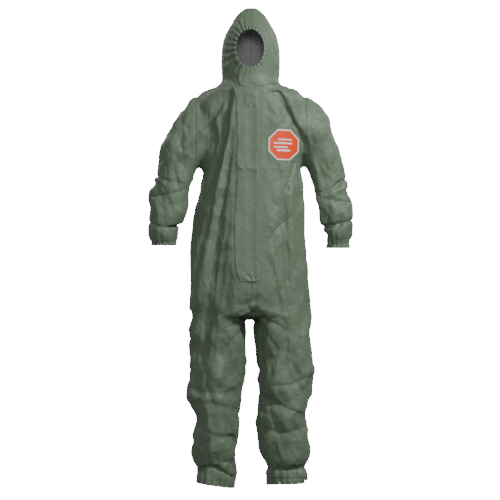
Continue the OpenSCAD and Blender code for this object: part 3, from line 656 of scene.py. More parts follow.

# ---- Laminate -----------------------------------------------------------------------------------
# Matte grey-green film on a nonwoven backing. The film is crinkled all over like paper, a little rougher on
# its ridges, and the backing's faint emboss shows through. Its inner face is dark grey.
# Near seams, stitch rows and flap edges its colour is darkened as painted shade.


def new_group(name, inputs, outputs):
    """An empty shader node group with float inputs (name, default) and outputs (name, type)."""
    tree = bpy.data.node_groups.new(name, "ShaderNodeTree")
    for label, default in inputs:
        socket = tree.interface.new_socket(label, in_out="INPUT", socket_type="NodeSocketFloat")
        socket.default_value = default
    for label, kind in outputs:
        tree.interface.new_socket(label, in_out="OUTPUT", socket_type=kind)
    return tree, tree.nodes.new("NodeGroupInput"), tree.nodes.new("NodeGroupOutput")


def wire(tree, source, target):
    """Joins two sockets of a node tree."""
    tree.links.new(source, target)


def maths(tree, kind, a, b=None, c=None):
    """A Math node on up to three sockets or numbers; returns its result."""
    node = tree.nodes.new("ShaderNodeMath")
    node.operation = kind
    for socket, value in zip(node.inputs, (a, b, c)):
        if value is None:
            continue
        if isinstance(value, bpy.types.NodeSocket):
            tree.links.new(value, socket)
        else:
            socket.default_value = value
    return node.outputs[0]


def noise(tree, vector, scale, detail=3, rough=0.5, kind="FBM"):
    """A Noise Texture's value on a vector."""
    node = tree.nodes.new("ShaderNodeTexNoise")
    node.noise_type = kind
    node.inputs["Scale"].default_value = scale
    node.inputs["Detail"].default_value = detail
    node.inputs["Roughness"].default_value = rough
    tree.links.new(vector, node.inputs["Vector"])
    return node.outputs["Fac"]


def new_material(name, rough=None):
    """A new material: it, its node tree, its Principled shader and its Object coordinates."""
    material = bpy.data.materials.new(name)
    material.use_nodes = True
    tree = material.node_tree
    shader = tree.nodes["Principled BSDF"]
    if rough is not None:
        shader.inputs["Roughness"].default_value = rough
    return material, tree, shader, tree.nodes.new("ShaderNodeTexCoord").outputs["Object"]


def tones(tree, factor, colour, dark, light):
    """A colour that runs from dark times to light times the given one as a factor runs from 0 to 1."""
    tone = tree.nodes.new("ShaderNodeMix")
    tone.data_type = "RGBA"
    tone.inputs[6].default_value = (*[c * dark for c in colour], 1)
    tone.inputs[7].default_value = (*[min(1, c * light) for c in colour], 1)
    wire(tree, factor, tone.inputs[0])
    return tone.outputs[2]


def rise(tree, height, distance):
    """Bumps the material's shader by a height, at a distance in metres."""
    bump = tree.nodes.new("ShaderNodeBump")
    bump.inputs["Distance"].default_value = distance
    wire(tree, height, bump.inputs["Height"])
    wire(tree, bump.outputs[0], tree.nodes["Principled BSDF"].inputs["Normal"])


# Crinkle: the distance to the nearest cell middle, for cells of two sizes, makes small facets with
# folds between them, and a fine noise makes the film's pebble.
crinkle, crinkle_in, crinkle_out = new_group(
    "crinkle", [("Facets", 55.0), ("Pebble", 900.0)],
    [("Height", "NodeSocketFloat"), ("Ridge", "NodeSocketFloat"), ("Patch", "NodeSocketFloat")])
place = crinkle.nodes.new("ShaderNodeTexCoord").outputs["Object"]
swirl = crinkle.nodes.new("ShaderNodeTexNoise")
swirl.inputs["Scale"].default_value = 14
wire(crinkle, place, swirl.inputs["Vector"])
bent = crinkle.nodes.new("ShaderNodeVectorMath")
bent.operation = "MULTIPLY_ADD"
wire(crinkle, swirl.outputs["Color"], bent.inputs[0])
bent.inputs[1].default_value = (0.035, 0.035, 0.035)
wire(crinkle, place, bent.inputs[2])
cell_sides = []
for share in (1.0, 2.3):
    cells = crinkle.nodes.new("ShaderNodeTexVoronoi")
    cells.feature = "F1"
    wire(crinkle, bent.outputs[0], cells.inputs["Vector"])
    wire(crinkle, maths(crinkle, "MULTIPLY", crinkle_in.outputs["Facets"], share), cells.inputs["Scale"])
    cell_sides.append(cells.outputs["Distance"])
pebble = crinkle.nodes.new("ShaderNodeTexNoise")
pebble.inputs["Detail"].default_value = 1
wire(crinkle, place, pebble.inputs["Vector"])
wire(crinkle, crinkle_in.outputs["Pebble"], pebble.inputs["Scale"])
soft = noise(crinkle, place, 30, 4, 0.6)
sum_a = maths(crinkle, "ADD", cell_sides[0], maths(crinkle, "MULTIPLY", cell_sides[1], 0.42))
sum_b = maths(crinkle, "ADD", sum_a, maths(crinkle, "MULTIPLY", soft, 0.9))
wire(crinkle, maths(crinkle, "ADD", sum_b, maths(crinkle, "MULTIPLY", pebble.outputs["Fac"], 0.05)),
     crinkle_out.inputs["Height"])
wire(crinkle, cell_sides[0], crinkle_out.inputs["Ridge"])
wire(crinkle, noise(crinkle, place, 5, 4, 0.6), crinkle_out.inputs["Patch"])


def laminate(name, colour, facet_bump, sheen):
    """Crinkled film: a colour varied by patch, satin roughness varied by ridge and crinkled bump."""
    material, tree, shader, _ = new_material(name)
    look = tree.nodes.new("ShaderNodeGroup")
    look.node_tree = crinkle
    tone = tones(tree, maths(tree, "MULTIPLY_ADD", look.outputs["Patch"], 0.75, 0.12), colour, 0.86, 1.16)
    # Within a few mm of a seam, stitch row or flap edge the colour is darkened to as little as 0.62 of
    # itself: painted shade in the seam valleys and painted shadow at the flap edges.
    seam = tree.nodes.new("ShaderNodeAttribute")
    seam.attribute_name = "seam"
    line = tree.nodes.new("ShaderNodeMapRange")
    line.inputs["From Min"].default_value = 0.3
    line.inputs["From Max"].default_value = 2.6
    line.inputs["To Min"].default_value = 0.62
    wire(tree, seam.outputs["Fac"], line.inputs["Value"])
    shade = tree.nodes.new("ShaderNodeVectorMath")
    shade.operation = "SCALE"
    wire(tree, tone, shade.inputs[0])
    wire(tree, line.outputs["Result"], shade.inputs["Scale"])
    wire(tree, shade.outputs[0], shader.inputs["Base Color"])
    wire(tree, maths(tree, "MULTIPLY_ADD", look.outputs["Ridge"], 0.22, 0.46), shader.inputs["Roughness"])
    shader.inputs["Specular IOR Level"].default_value = 0.42
    shader.inputs["Sheen Weight"].default_value = sheen
    shader.inputs["Sheen Roughness"].default_value = 0.6
    rise(tree, look.outputs["Height"], facet_bump)
    return material


outer_film = laminate("outer_film", (0.104, 0.150, 0.097), 0.0009, 0.05)
inner_face = laminate("inner_face", (0.46, 0.46, 0.47), 0.0010, 0.0)

# ---- Panels -------------------------------------------------------------------------------------
# The skin is parted along the real seams, and once more at mid upper arm and mid thigh; only the trunk
# panels ride on a joint, the torso. Every panel is given the laminate's thickness and its inner face.
THICK = 0.0006
SEAT_Z = -0.760
THIGH_Z = -1.018
ARM_POINT = Vector((0.290, 0, -0.300))
ARM_DOWN = Vector((0.42, 0, -0.908)).normalized()


def part_at(bm, point, normal, near):
    """Cuts the skin along a plane, among the faces where near(x, y, z) of their centres is true."""
    bm.faces.ensure_lookup_table()
    centre = np.array([f.calc_center_median() for f in bm.faces])
    faces = [bm.faces[i] for i in np.flatnonzero(near(*centre.T))]
    geometry = {*faces, *(v for f in faces for v in f.verts), *(e for f in faces for e in f.edges)}
    bmesh.ops.bisect_plane(bm, geom=list(geometry), plane_co=point, plane_no=normal, dist=3e-4)


bm = bmesh.new()
bm.from_mesh(skin.data)
part_at(bm, (0, 0, 0), (1, 0, 0), lambda x, y, z: np.abs(x) < 0.012)
part_at(bm, (0, 0, 0), (0, 1, 0), lambda x, y, z: (np.abs(y) < 0.012) * (
    (z < -0.27) * (np.abs(x) < 0.25) + (z > -0.15) * (z < 0.05) * (np.abs(x) < 0.21)))
part_at(bm, NECK_POINT, NECK_UP, lambda x, y, z: (np.abs(x) < 0.14) * (z > -0.08) * (z < 0.06))
for level in (SEAT_Z, THIGH_Z):
    part_at(bm, (0, 0, level), (0, 0, 1), lambda x, y, z: np.abs(z - level) < 0.012)
part_at(bm, (0, 0, SLOT_END), (0, 0, 1),
        lambda x, y, z: (np.abs(z - SLOT_END) < 0.012) * (np.abs(x) < 0.03) * (y < 0))
for side in (1, -1):
    part_at(bm, (side * SLOT_HALF, 0, 0), (1, 0, 0), lambda x, y, z: (
        np.abs(x - side * SLOT_HALF) < 0.012) * (y < 0) * (z > SLOT_END - 0.01) * (z < 0.01))
    part_at(bm, (side * ARMHOLE_X, 0, 0), (1, 0, 0),
            lambda x, y, z: (np.abs(x - side * ARMHOLE_X) < 0.012) * (z > -0.285))
    part_at(bm, (side * ARM_POINT.x, 0, ARM_POINT.z), (side * ARM_DOWN.x, 0, ARM_DOWN.z),
            lambda x, y, z: (x * side > 0.21) * (z < -0.24) * (z > -0.37))
bm.to_mesh(skin.data)
bm.free()
skin.data.update()

SKIN_AT = points_of(skin.data)
SKIN_OUT = normals_of(skin.data)
# Each panel carries its points' distance to the nearest seam, from which the laminate paints shade along the
# seams.
SEAM = seam_gap(SKIN_AT)
loop_vertex = np.empty(len(skin.data.loops), int)
skin.data.loops.foreach_get("vertex_index", loop_vertex)
face_start = np.empty(len(skin.data.polygons), int)
face_size = np.empty(len(skin.data.polygons), int)
face_mid = np.empty(len(skin.data.polygons) * 3)
skin.data.polygons.foreach_get("loop_start", face_start)
skin.data.polygons.foreach_get("loop_total", face_size)
skin.data.polygons.foreach_get("center", face_mid)
face_mid = face_mid.reshape(-1, 3)


def mesh_from(name, points, corners, sizes):
    """A mesh from points, the corner numbers of all its faces in one array, and each face's size."""
    mesh = bpy.data.meshes.new(name)
    mesh.vertices.add(len(points))
    mesh.vertices.foreach_set("co", np.asarray(points, np.float32).ravel())
    mesh.loops.add(len(corners))
    mesh.loops.foreach_set("vertex_index", np.asarray(corners, np.int32))
    mesh.polygons.add(len(sizes))
    mesh.polygons.foreach_set("loop_start", np.concatenate([[0], np.cumsum(sizes)[:-1]]).astype(np.int32))
    mesh.update(calc_edges=True)
    return mesh


def thickened(name, points, outward, corners, sizes, thick, seam, outside, inside):
    """A sheet with thickness: its faces, the same faces turned inwards, and a rim round its edges.

    The inner points stand thick behind the outer ones along outward, which also shades the sheet,
    so that two panels that meet shade as one. seam is each point's distance in mm to a seam, stored as an
    attribute for the laminate's painted shade along seams."""
    first = np.repeat(np.concatenate([[0], np.cumsum(sizes)[:-1]]), sizes)
    step = np.arange(len(corners)) - first
    long = np.repeat(sizes, sizes)
    back = corners[first + long - 1 - step]
    following = corners[first + (step + 1) % long]
    n = len(points)
    key = np.minimum(corners, following) * n + np.maximum(corners, following)
    _, inverse, count = np.unique(key, return_inverse=True, return_counts=True)
    edge = count[inverse] == 1
    a, b = corners[edge], following[edge]
    rim = np.stack([b, a, a + n, b + n], 1)
    both = np.concatenate([points, points - thick * outward])
    mesh = mesh_from(name, both, np.concatenate([corners, back + n, rim.ravel()]),
                     np.concatenate([sizes, sizes, np.full(len(rim), 4)]))
    side_out = np.cross(both[rim[:, 1]] - both[rim[:, 0]], both[rim[:, 2]] - both[rim[:, 1]])
    side_out /= np.maximum(np.linalg.norm(side_out, axis=1, keepdims=True), 1e-12)
    normals = np.concatenate([outward[corners], -outward[back], np.repeat(side_out, 4, 0)])
    mesh.polygons.foreach_set("use_smooth", np.ones(len(mesh.polygons), bool))
    mesh.polygons.foreach_set("material_index",
                              np.repeat(np.array([0, 1, 0], np.int32), [len(sizes), len(sizes), len(rim)]))
    mesh.materials.append(outside)
    mesh.materials.append(inside)
    mesh.attributes.new("seam", "FLOAT", "POINT").data.foreach_set(
        "value", np.tile(np.asarray(seam, np.float32), 2))
    mesh.normals_split_custom_set(normals.tolist())
    return link(name, mesh)


def sewn_panel(name, keep):
    """A panel of the skin, from its kept faces."""
    start, size = face_start[keep], face_size[keep]
    first = np.repeat(np.concatenate([[0], np.cumsum(size)[:-1]]), size)
    corners = loop_vertex[np.repeat(start, size) + np.arange(size.sum()) - first]
    used = np.unique(corners)
    number = np.zeros(len(SKIN_AT), int)
    number[used] = np.arange(len(used))
    return thickened(name, SKIN_AT[used], SKIN_OUT[used], number[corners], size, THICK, SEAM[used],
                     outer_film, inner_face)


x, y, z = face_mid.T
above_neck = (face_mid - np.array(NECK_POINT)) @ np.array(NECK_UP) > 0
hood_side = above_neck & (np.abs(x) < 0.16) & (z > -0.05)
in_slot = (np.abs(x) < SLOT_HALF) & (y < 0) & (z > SLOT_END) & ~hood_side
ARMPIT_X = {1: 0.213, -1: 0.191}
for side, word in ((1, "left"), (-1, "right")):
    here = x * side > 0
    between = ARMPIT_X[side] - 0.21 * (z + 0.285)
    sleeve_side = here & np.where(z > -0.285, np.abs(x) > ARMHOLE_X, (np.abs(x) > between) & (z > -0.66))
    past_arm = (np.abs(x) - ARM_POINT.x) * ARM_DOWN.x + (z - ARM_POINT.z) * ARM_DOWN.z > 0
    body = here & ~sleeve_side & ~hood_side & ~in_slot
    for facing, which in ((y < 0, "front"), (y >= 0, "back")):
        trunk_panel = sewn_panel(f"{which}_panel_{word}", body & facing & (z > SEAT_Z))
        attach(trunk_panel, "torso")
        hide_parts(f"{which}_{word}")
        hip_panel = sewn_panel(f"hip_{which}_{word}", body & facing & (z < SEAT_Z) & (z > THIGH_Z))
        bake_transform(hip_panel)
        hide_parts(f"seat_{word}", f"thigh_{which}_{word}", "crotch_gusset")
        leg_panel = sewn_panel(f"leg_{which}_{word}", body & facing & (z < THIGH_Z))
        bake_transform(leg_panel)
        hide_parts(f"knee_{word}", f"shin_{which}_{word}")
    sleeve_head = sewn_panel(f"sleeve_head_{word}", sleeve_side & ~past_arm)
    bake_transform(sleeve_head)
    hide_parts(f"armhole_{word}", f"sleeve_{word}")
    forearm = sewn_panel(f"sleeve_lower_{word}", sleeve_side & past_arm)
    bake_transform(forearm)
    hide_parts(f"elbow_{word}", f"forearm_{word}")
    hood_half = sewn_panel(f"hood_half_{word}", hood_side & here)
    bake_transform(hood_half)
    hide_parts(f"hood_{word}", "neck_band")

# ---- Storm flap ---------------------------------------------------------------------------------
# Two layers of laminate, sewn to the front on the wearer's left of the zip and turned to a hem at
# the free edge, with a row of lockstitch. It lies close to the front and swells over the zip.


def spread(*xyz):
    """Rows x cols x 3 points from their x, y and z, each a number, a row, a column or a grid."""
    return np.stack(np.broadcast_arrays(*xyz), -1)


def fit(piece, body, node):
    """The piece rides on a body and replaces a CAD node."""
    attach(piece, body)
    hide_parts(node)


def facing_of(grid, wrap=False):
    """Unit normals of a grid, from its rows going up and its columns going right as seen in front."""
    if wrap:
        across = np.roll(grid, -1, 1) - np.roll(grid, 1, 1)
    else:
        across = np.gradient(grid, axis=1)
    n = np.cross(across, np.gradient(grid, axis=0))
    return n / np.maximum(np.linalg.norm(n, axis=2, keepdims=True), 1e-12)


def ribbon(name, grid, thick, outside, inside=None, wrap=False, edge=None):
    """A thickened sheet from a grid of rows x cols x 3. edge is each point's distance to a seam in mm, for
    the laminate's painted shade.
    """
    corners = grid_faces(*grid.shape[:2], wrap)
    seam = np.full(grid.shape[:2], 40.0) if edge is None else edge
    return thickened(name, grid.reshape(-1, 3), facing_of(grid, wrap).reshape(-1, 3), corners.ravel(),
                     np.full(len(corners), 4), thick, seam.ravel(), outside, inside or outside)


def on_skin(grid, offset):
    """A grid's points moved to the nearest place on the skin and lifted off it by an offset."""
    corners = grid_faces(*grid.shape[:2], False)
    probe = link("probe", mesh_from("probe", grid.reshape(-1, 3), corners.ravel(), np.full(len(corners), 4)))
    hug = probe.modifiers.new("hug", "SHRINKWRAP")
    hug.wrap_method = "NEAREST_SURFACEPOINT"
    hug.wrap_mode = "ABOVE_SURFACE"
    hug.target = skin
    hug.offset = offset
    finish_modifiers(probe)
    moved = points_of(probe.data).reshape(grid.shape)
    bpy.data.objects.remove(probe)
    return moved


def soften(grid, times):
    """A grid averaged with its neighbours along rows and columns, its edge points kept in line."""
    for _ in range(times):
        for axis in (0, 1):
            inner = np.moveaxis(grid, axis, 0)
            inner[1:-1] = 0.5 * inner[1:-1] + 0.25 * (inner[:-2] + inner[2:])
    return grid


def stitches(name, path, outward, pitch, thread, material):
    """A row of stitches along a path: each is a long eight-sided bead lying in the cloth."""
    along = np.concatenate([[0], np.cumsum(np.linalg.norm(np.diff(path, axis=0), axis=1))])
    where = np.arange(pitch / 2, along[-1], pitch)
    middle = np.stack([np.interp(where, along, path[:, k]) for k in range(3)], -1)
    up = np.stack([np.interp(where, along, outward[:, k]) for k in range(3)], -1)
    ahead = np.stack([np.interp(where + pitch / 4, along, path[:, k]) for k in range(3)], -1) - middle
    ahead /= np.maximum(np.linalg.norm(ahead, axis=1, keepdims=True), 1e-9)
    aside = np.cross(up, ahead)
    arms = np.stack([ahead * pitch * 0.36, -ahead * pitch * 0.36, aside * thread, -aside * thread,
                     up * thread, -up * thread], 1)
    points = (middle[:, None] + arms).reshape(-1, 3)
    shape = np.array([[0, 2, 4], [2, 1, 4], [1, 3, 4], [3, 0, 4], [2, 0, 5], [1, 2, 5], [3, 1, 5], [0, 3, 5]])
    corners = (shape[None] + 6 * np.arange(len(middle))[:, None, None]).ravel()
    mesh = mesh_from(name, points, corners, np.full(8 * len(middle), 3))
    mesh.polygons.foreach_set("use_smooth", np.ones(8 * len(middle), bool))
    mesh.materials.append(material)
    return link(name, mesh)


def stitch_thread(name, colour):
    """Spun polyester thread: fine twist lines and a soft sheen."""
    material, tree, shader, place = new_material(name, 0.55)
    shader.inputs["Base Color"].default_value = (*colour, 1)
    shader.inputs["Sheen Weight"].default_value = 0.3
    rise(tree, noise(tree, place, 4000, 2), 0.0001)
    return material


thread_green = stitch_thread("thread_green", (0.10, 0.135, 0.095))
FLAP_LEFT, FLAP_RIGHT = -0.056, 0.032
FLAP_LOW, FLAP_HIGH = -0.737, 0.006
FLAP_ROWS, FLAP_COLS = 330, 44
u = np.linspace(0, 1, FLAP_COLS)[None, :]
v = np.linspace(FLAP_LOW, FLAP_HIGH, FLAP_ROWS)[:, None]
free_edge = (FLAP_LEFT - 0.004 * np.sin((v - FLAP_LOW) * 9) - 0.020 * smooth(-0.06, 0.01, v)
             + 0.016 * smooth(FLAP_LOW + 0.050, FLAP_LOW - 0.006, v))
gx = free_edge + (FLAP_RIGHT - free_edge) * u
gz = v + 0 * u
gy = -front_depth(gz / MM) * MM - 0.012
flap = soften(on_skin(np.stack([gx, gy, gz], -1), 0.0016), 6)
over_pull = np.exp(-(gx / 0.022) ** 4) * smooth(-0.085, -0.060, gz) * smooth(-0.012, -0.024, gz)
over_zip = np.exp(-(gx / 0.019) ** 4) * smooth(-0.022, -0.040, gz)
from_free = (gx - free_edge) / MM
loose = smooth(30, 2, from_free)
wave = 0.5 + 0.5 * np.sin(gz * 46 + 1.6 * np.sin(gz * 19) + 0.7)
end_turn = np.arctan2(gx - 0.012, gz - FLAP_LOW + 0.004)
end_fold = np.abs(np.sin(end_turn * 4.5)) ** 0.8 * smooth(FLAP_LOW + 0.085, FLAP_LOW + 0.004, gz)
flat_points = spread(gx, 0.0, gz).reshape(-1, 3)
fold = (0.5 * crumple(flat_points, 0.060, 8) + 1.1 * facets(flat_points, 0.045, 41) - 0.8).reshape(gx.shape)
seam_in = (FLAP_RIGHT - gx) / MM
lift = (0.0038 * over_pull + 0.0014 * over_zip + 0.0013 * loose * wave + 0.0030 * end_fold + 0.0026 * fold
        + 0.0005 * smooth(12.5, 11.5, from_free) - 0.0010 * np.exp(-((from_free - 9) / 1.6) ** 2)
        - 0.0011 * smooth(8, 0, seam_in) + 0.0026 * tucks(gx, gz))
flap = flap + facing_of(flap) * np.maximum(lift, -0.0008)[..., None]
# The laminate darkens the flap along its row of stitches and at its free edge: painted shade in the stitched
# valley and painted shadow under the free edge.
storm_flap = ribbon("storm_flap_cloth", flap, 0.0009, outer_film, inner_face,
                    edge=np.minimum(np.abs(from_free - 9.0) + 1.9, from_free + 2.2))
fit(storm_flap, "storm_flap", "storm_flap")
row = int(np.argmin(np.abs(from_free[FLAP_ROWS // 2] - 9.0)))
flap_stitches = stitches("storm_flap_stitches", flap[:, row] + facing_of(flap)[:, row] * 0.0001,
                         facing_of(flap)[:, row], 0.0036, 0.00032, thread_green)
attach(flap_stitches, "storm_flap")

# The flap is held shut by a strip of adhesive tape under its free edge, with paper over the glue.


def strip_material(name, colour, rough, grain, depth):
    """A coated strip: colour mottled by noise, with a fine grain."""
    material, tree, shader, place = new_material(name)
    tone = tones(tree, noise(tree, place, grain / 12, 4), colour, 0.88, 1.06)
    wire(tree, tone, shader.inputs["Base Color"])
    uneven = maths(tree, "MULTIPLY_ADD", noise(tree, place, grain / 5, 3), 0.16, rough - 0.08)
    wire(tree, uneven, shader.inputs["Roughness"])
    rise(tree, noise(tree, place, grain, 3), depth)
    return material


tape_paper = strip_material("tape_paper", (0.74, 0.72, 0.63), 0.55, 700, 0.0001)
inner = flap - facing_of(flap) * 0.00095
middle_row = from_free[FLAP_ROWS // 2]
cols = (middle_row > 11) & (middle_row < 32)
tape_grid = inner[34:-28, np.flatnonzero(cols)[0]:np.flatnonzero(cols)[-1] + 1]
flap_tape = ribbon("storm_flap_adhesive", tape_grid, 0.0002, tape_paper)
fit(flap_tape, "storm_flap", "storm_flap_tape")

# ---- Chin flap ----------------------------------------------------------------------------------
# A strip of doubled laminate sewn to the hood on the wearer's left, drawn across the chin and stuck
# down with tape on the wearer's right. Its free end has cut corners.
hood_at = dense(HOOD, 400)


def hood_point(angle, z):
    """A point on the hood's first form, at an angle from the front and a height in metres."""
    wide = np.interp(z / MM, hood_at[:, 0], hood_at[:, 1]) * MM
    ahead = np.interp(z / MM, hood_at[:, 0], hood_at[:, 2]) * MM
    return np.stack([wide * np.sin(angle), -ahead * np.cos(angle), z + 0 * angle], -1)


CHIN_ROWS, CHIN_COLS = 34, 110
CHIN_LOW, CHIN_HIGH = 0.003, 0.0770
u = np.linspace(0, 1, CHIN_COLS)[None, :]
v = np.linspace(0, 1, CHIN_ROWS)[:, None]
corner = 0.006 * (smooth(0.85, 1.0, v) + smooth(0.15, 0.0, v)) * smooth(0.06, 0.0, u)
turn = np.radians(-23 + 84 * u + 0 * v) + corner / 0.11
height = CHIN_LOW + (CHIN_HIGH - CHIN_LOW) * v + 0.003 * u * (1 - v)
chin_form = hood_point(turn, height)
chin_form[..., :2] *= 1.06
chin = soften(on_skin(chin_form, 0.0034), 8)
flat_points = spread(turn * 0.11, 0.0, height).reshape(-1, 3)
fold = (facets(flat_points, 0.034, 43) - 0.5).reshape(turn.shape)
chin_in = u * 145 + 0 * v
chin_up = 68 * v + 0 * u
# chin_edge is the distance in mm to the rows of stitches, plus 1.3: the cloth sinks along them, and the
# laminate darkens them as painted shade.
chin_edge = np.minimum.reduce([np.abs(chin_in - 8), np.abs(chin_up - 7), np.abs(61 - chin_up)]) + 1.3
chin_lift = (0.0012 * smooth(20, 0, chin_in) + 0.0024 * fold - 0.0022 * smooth(130, 145, chin_in)
             + 0.0010 * np.sin(chin_in / 9.0 + 2 * v) * smooth(15, 0, chin_up)
             - 0.0007 * np.exp(-((chin_edge - 1.3) / 1.6) ** 2))
chin = chin + facing_of(chin) * chin_lift[..., None]
chin_flap = ribbon("chin_flap_cloth", chin, 0.0009, outer_film, inner_face, edge=chin_edge)
fit(chin_flap, "chin_flap", "chin_flap")
chin_row = int(round(7 / 68 * (CHIN_ROWS - 1)))
chin_col = int(round(8 / 145 * (CHIN_COLS - 1)))
chin_out = facing_of(chin)
chin_path = np.concatenate([chin[chin_row, :chin_col:-1], chin[chin_row:-chin_row, chin_col],
                            chin[-chin_row - 1, chin_col:]])
chin_path_out = np.concatenate([chin_out[chin_row, :chin_col:-1], chin_out[chin_row:-chin_row, chin_col],
                                chin_out[-chin_row - 1, chin_col:]])
chin_stitches = stitches("chin_flap_stitches", chin_path + chin_path_out * 0.0001, chin_path_out,
                         0.0034, 0.00030, thread_green)
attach(chin_stitches, "chin_flap")
inner = chin - chin_out * 0.00095
chin_tape = ribbon("chin_flap_adhesive", inner[5:-5, 9:24], 0.0002, tape_paper)
fit(chin_tape, "chin_flap", "chin_flap_tape")

# ---- Face opening -------------------------------------------------------------------------------
# The hood's edge is turned in over a band of knitted elastic and sewn down, which gathers the hem
# into the same pleats as the hood round it.


def hem_ring(profile, cols):
    """Rows of points round the face opening through a profile of (distance outside it, lift) in mm.

    The lift stands forward of the hood's first form and carries the pleats, full on the outer rows
    and less where the hem turns in."""
    angle = np.linspace(0, 2 * np.pi, cols, endpoint=False)[None, :]
    away, rise, share = [dense(profile, 6 * len(profile))[:, k][:, None] for k in range(3)]
    tuck = 0.0010 * share * pleats(angle, FACE_PLEATS, FACE_SEED)
    x = FACE_MID.x + (FACE_HALF[0] + away * MM - tuck) * np.cos(angle)
    z = FACE_MID.z + (FACE_HALF[1] + away * MM - tuck) * np.sin(angle)
    wide = np.interp(z / MM, hood_at[:, 0], hood_at[:, 1]) * MM
    ahead = np.interp(z / MM, hood_at[:, 0], hood_at[:, 2]) * MM
    y = -ahead * np.sqrt(1 - (x / wide) ** 2) - rise * MM - share * face_pleat(x, z)
    return np.stack([x, y, z], -1)


HEM_PROFILE = [(14, 0.2, 1.0), (12.5, 1.0, 1.0), (10, 1.9, 1.0), (6, 2.1, 1.0), (2.5, 2.3, 0.9),
               (-0.5, 1.6, 0.7), (-2, -0.6, 0.5), (-1.4, -3.4, 0.4), (1.5, -4.8, 0.4), (6, -4.8, 0.4),
               (11, -4.3, 0.4)]
hem_points = hem_ring(HEM_PROFILE, 720)
# The laminate darkens the hem along a line close to its outer edge, as painted shade.
hem_shade_gap = np.abs(np.linspace(0, 25, len(hem_points)) - 3.2)[:, None] + 0.4 + np.zeros((1, 720))
face_hem = ribbon("face_hem_cloth", hem_points[:, ::-1], 0.0006, outer_film, outer_film, wrap=True,
                  edge=hem_shade_gap)
FACE_BAND = [(0.6, -1.0, 0.4), (4, -1.3, 0.4), (8, -1.5, 0.4)]
face_elastic = ribbon("face_elastic_band", hem_ring(FACE_BAND, 360)[::-1], 0.0010, outer_film, wrap=True)
for piece, node, finish in ((face_hem, "face_hem", "laminate"), (face_elastic, "face_elastic", "elastic")):
    fit(piece, "hood", node)

# ---- Elastics -----------------------------------------------------------------------------------
# Bands of knitted rubber elastic stand inside each cuff and hem, ribbed along their length and
# rippled by the gathers they pull.
weave, weave_in, weave_out = new_group("weave", [("Across", 900.0), ("Along", 900.0)],
                                       [("Height", "NodeSocketFloat"), ("Shade", "NodeSocketFloat")])
place = weave.nodes.new("ShaderNodeTexCoord").outputs["Object"]
split = weave.nodes.new("ShaderNodeSeparateXYZ")
wire(weave, place, split.inputs[0])
around = maths(weave, "ADD", split.outputs["X"], split.outputs["Y"])
warp = maths(weave, "SINE", maths(weave, "MULTIPLY", around, weave_in.outputs["Across"]))
weft = maths(weave, "SINE", maths(weave, "MULTIPLY", split.outputs["Z"], weave_in.outputs["Along"]))
crossed = maths(weave, "MULTIPLY_ADD", maths(weave, "MULTIPLY", warp, weft), 0.5, 0.5)
wire(weave, crossed, weave_out.inputs["Height"])
fuzz = noise(weave, place, 260, 3)
# The shade output is darker between the yarns, painted shade where the ribs dip, mixed with a random fuzz of
# tone.
wire(weave, maths(weave, "MULTIPLY", maths(weave, "ADD", crossed, fuzz), 0.5), weave_out.inputs["Shade"])


def woven(name, colour, across, along, depth, rough, sheen):
    """Woven or knitted yarn: crossed ribs for the bump, painted shade between the yarns, a soft sheen."""
    material, tree, shader, _ = new_material(name, rough)
    cloth_look = tree.nodes.new("ShaderNodeGroup")
    cloth_look.node_tree = weave
    cloth_look.inputs["Across"].default_value = across
    cloth_look.inputs["Along"].default_value = along
    wire(tree, tones(tree, cloth_look.outputs["Shade"], colour, 0.6, 1.2), shader.inputs["Base Color"])
    shader.inputs["Sheen Weight"].default_value = sheen
    rise(tree, cloth_look.outputs["Height"], depth)
    return material


elastic_knit = woven("elastic_knit", (0.62, 0.62, 0.58), 2600, 3400, 0.0003, 0.8, 0.25)
for slot_number in (0, 1):
    face_elastic.data.materials[slot_number] = elastic_knit


def band(name, node, count, seed, thick):
    """An elastic ring the size of a CAD band, its wall rippled by the gathers round it."""
    low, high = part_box(node)
    a = np.linspace(0, 2 * np.pi, 300, endpoint=False)[None, :]
    v = np.linspace(0, 1, 10)[:, None]
    radius = (high.x - low.x) / 2 - 0.0002 - 0.0005 * (0.5 - 0.5 * pleats(a, count, seed))
    round_off = 0.0004 * (2 * v - 1) ** 6
    grid = spread((low.x + high.x) / 2 + (radius - round_off) * np.cos(a),
                  (low.y + high.y) / 2 + (radius - round_off) * np.sin(a), low.z + (high.z - low.z) * v)
    return ribbon(name, grid, thick, elastic_knit, wrap=True)


for side, word in ((1, "left"), (-1, "right")):
    for name, thick, body_name in (("wrist_elastic", 0.0015, "forearm"), ("ankle_elastic", 0.0020, "shin")):
        count, seed = GATHERED[name]
        elastic = band(f"{name}_band_{word}", f"{name}_{word}", count, seed + side, thick)
        fit(elastic, f"{word}_{body_name}", f"{name}_{word}")

# ---- Zip ----------------------------------------------------------------------------------------
# Moulded black teeth on two woven tapes, closed by an enamelled slider with a swinging pull, and a
# loose inner flap of laminate behind it.
tape_weave = woven("tape_weave", (0.022, 0.022, 0.024), 5200, 4200, 0.00025, 0.75, 0.3)
TAPE_THICK = 0.0008
for side, word in ((1, "left"), (-1, "right")):
    low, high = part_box(f"zip_tape_{word}")
    rows = np.linspace(low.z, high.z, 240)[:, None]
    cols = np.linspace(low.x, high.x, 12)[None, :]
    share = (rows - low.z) / (high.z - low.z)
    tape_y = high.y - TAPE_THICK - (high.y - low.y - TAPE_THICK) * (1 - share)
    tape = ribbon(f"zip_tape_cloth_{word}", spread(cols, tape_y, rows), TAPE_THICK, tape_weave)
    fit(tape, "torso", f"zip_tape_{word}")


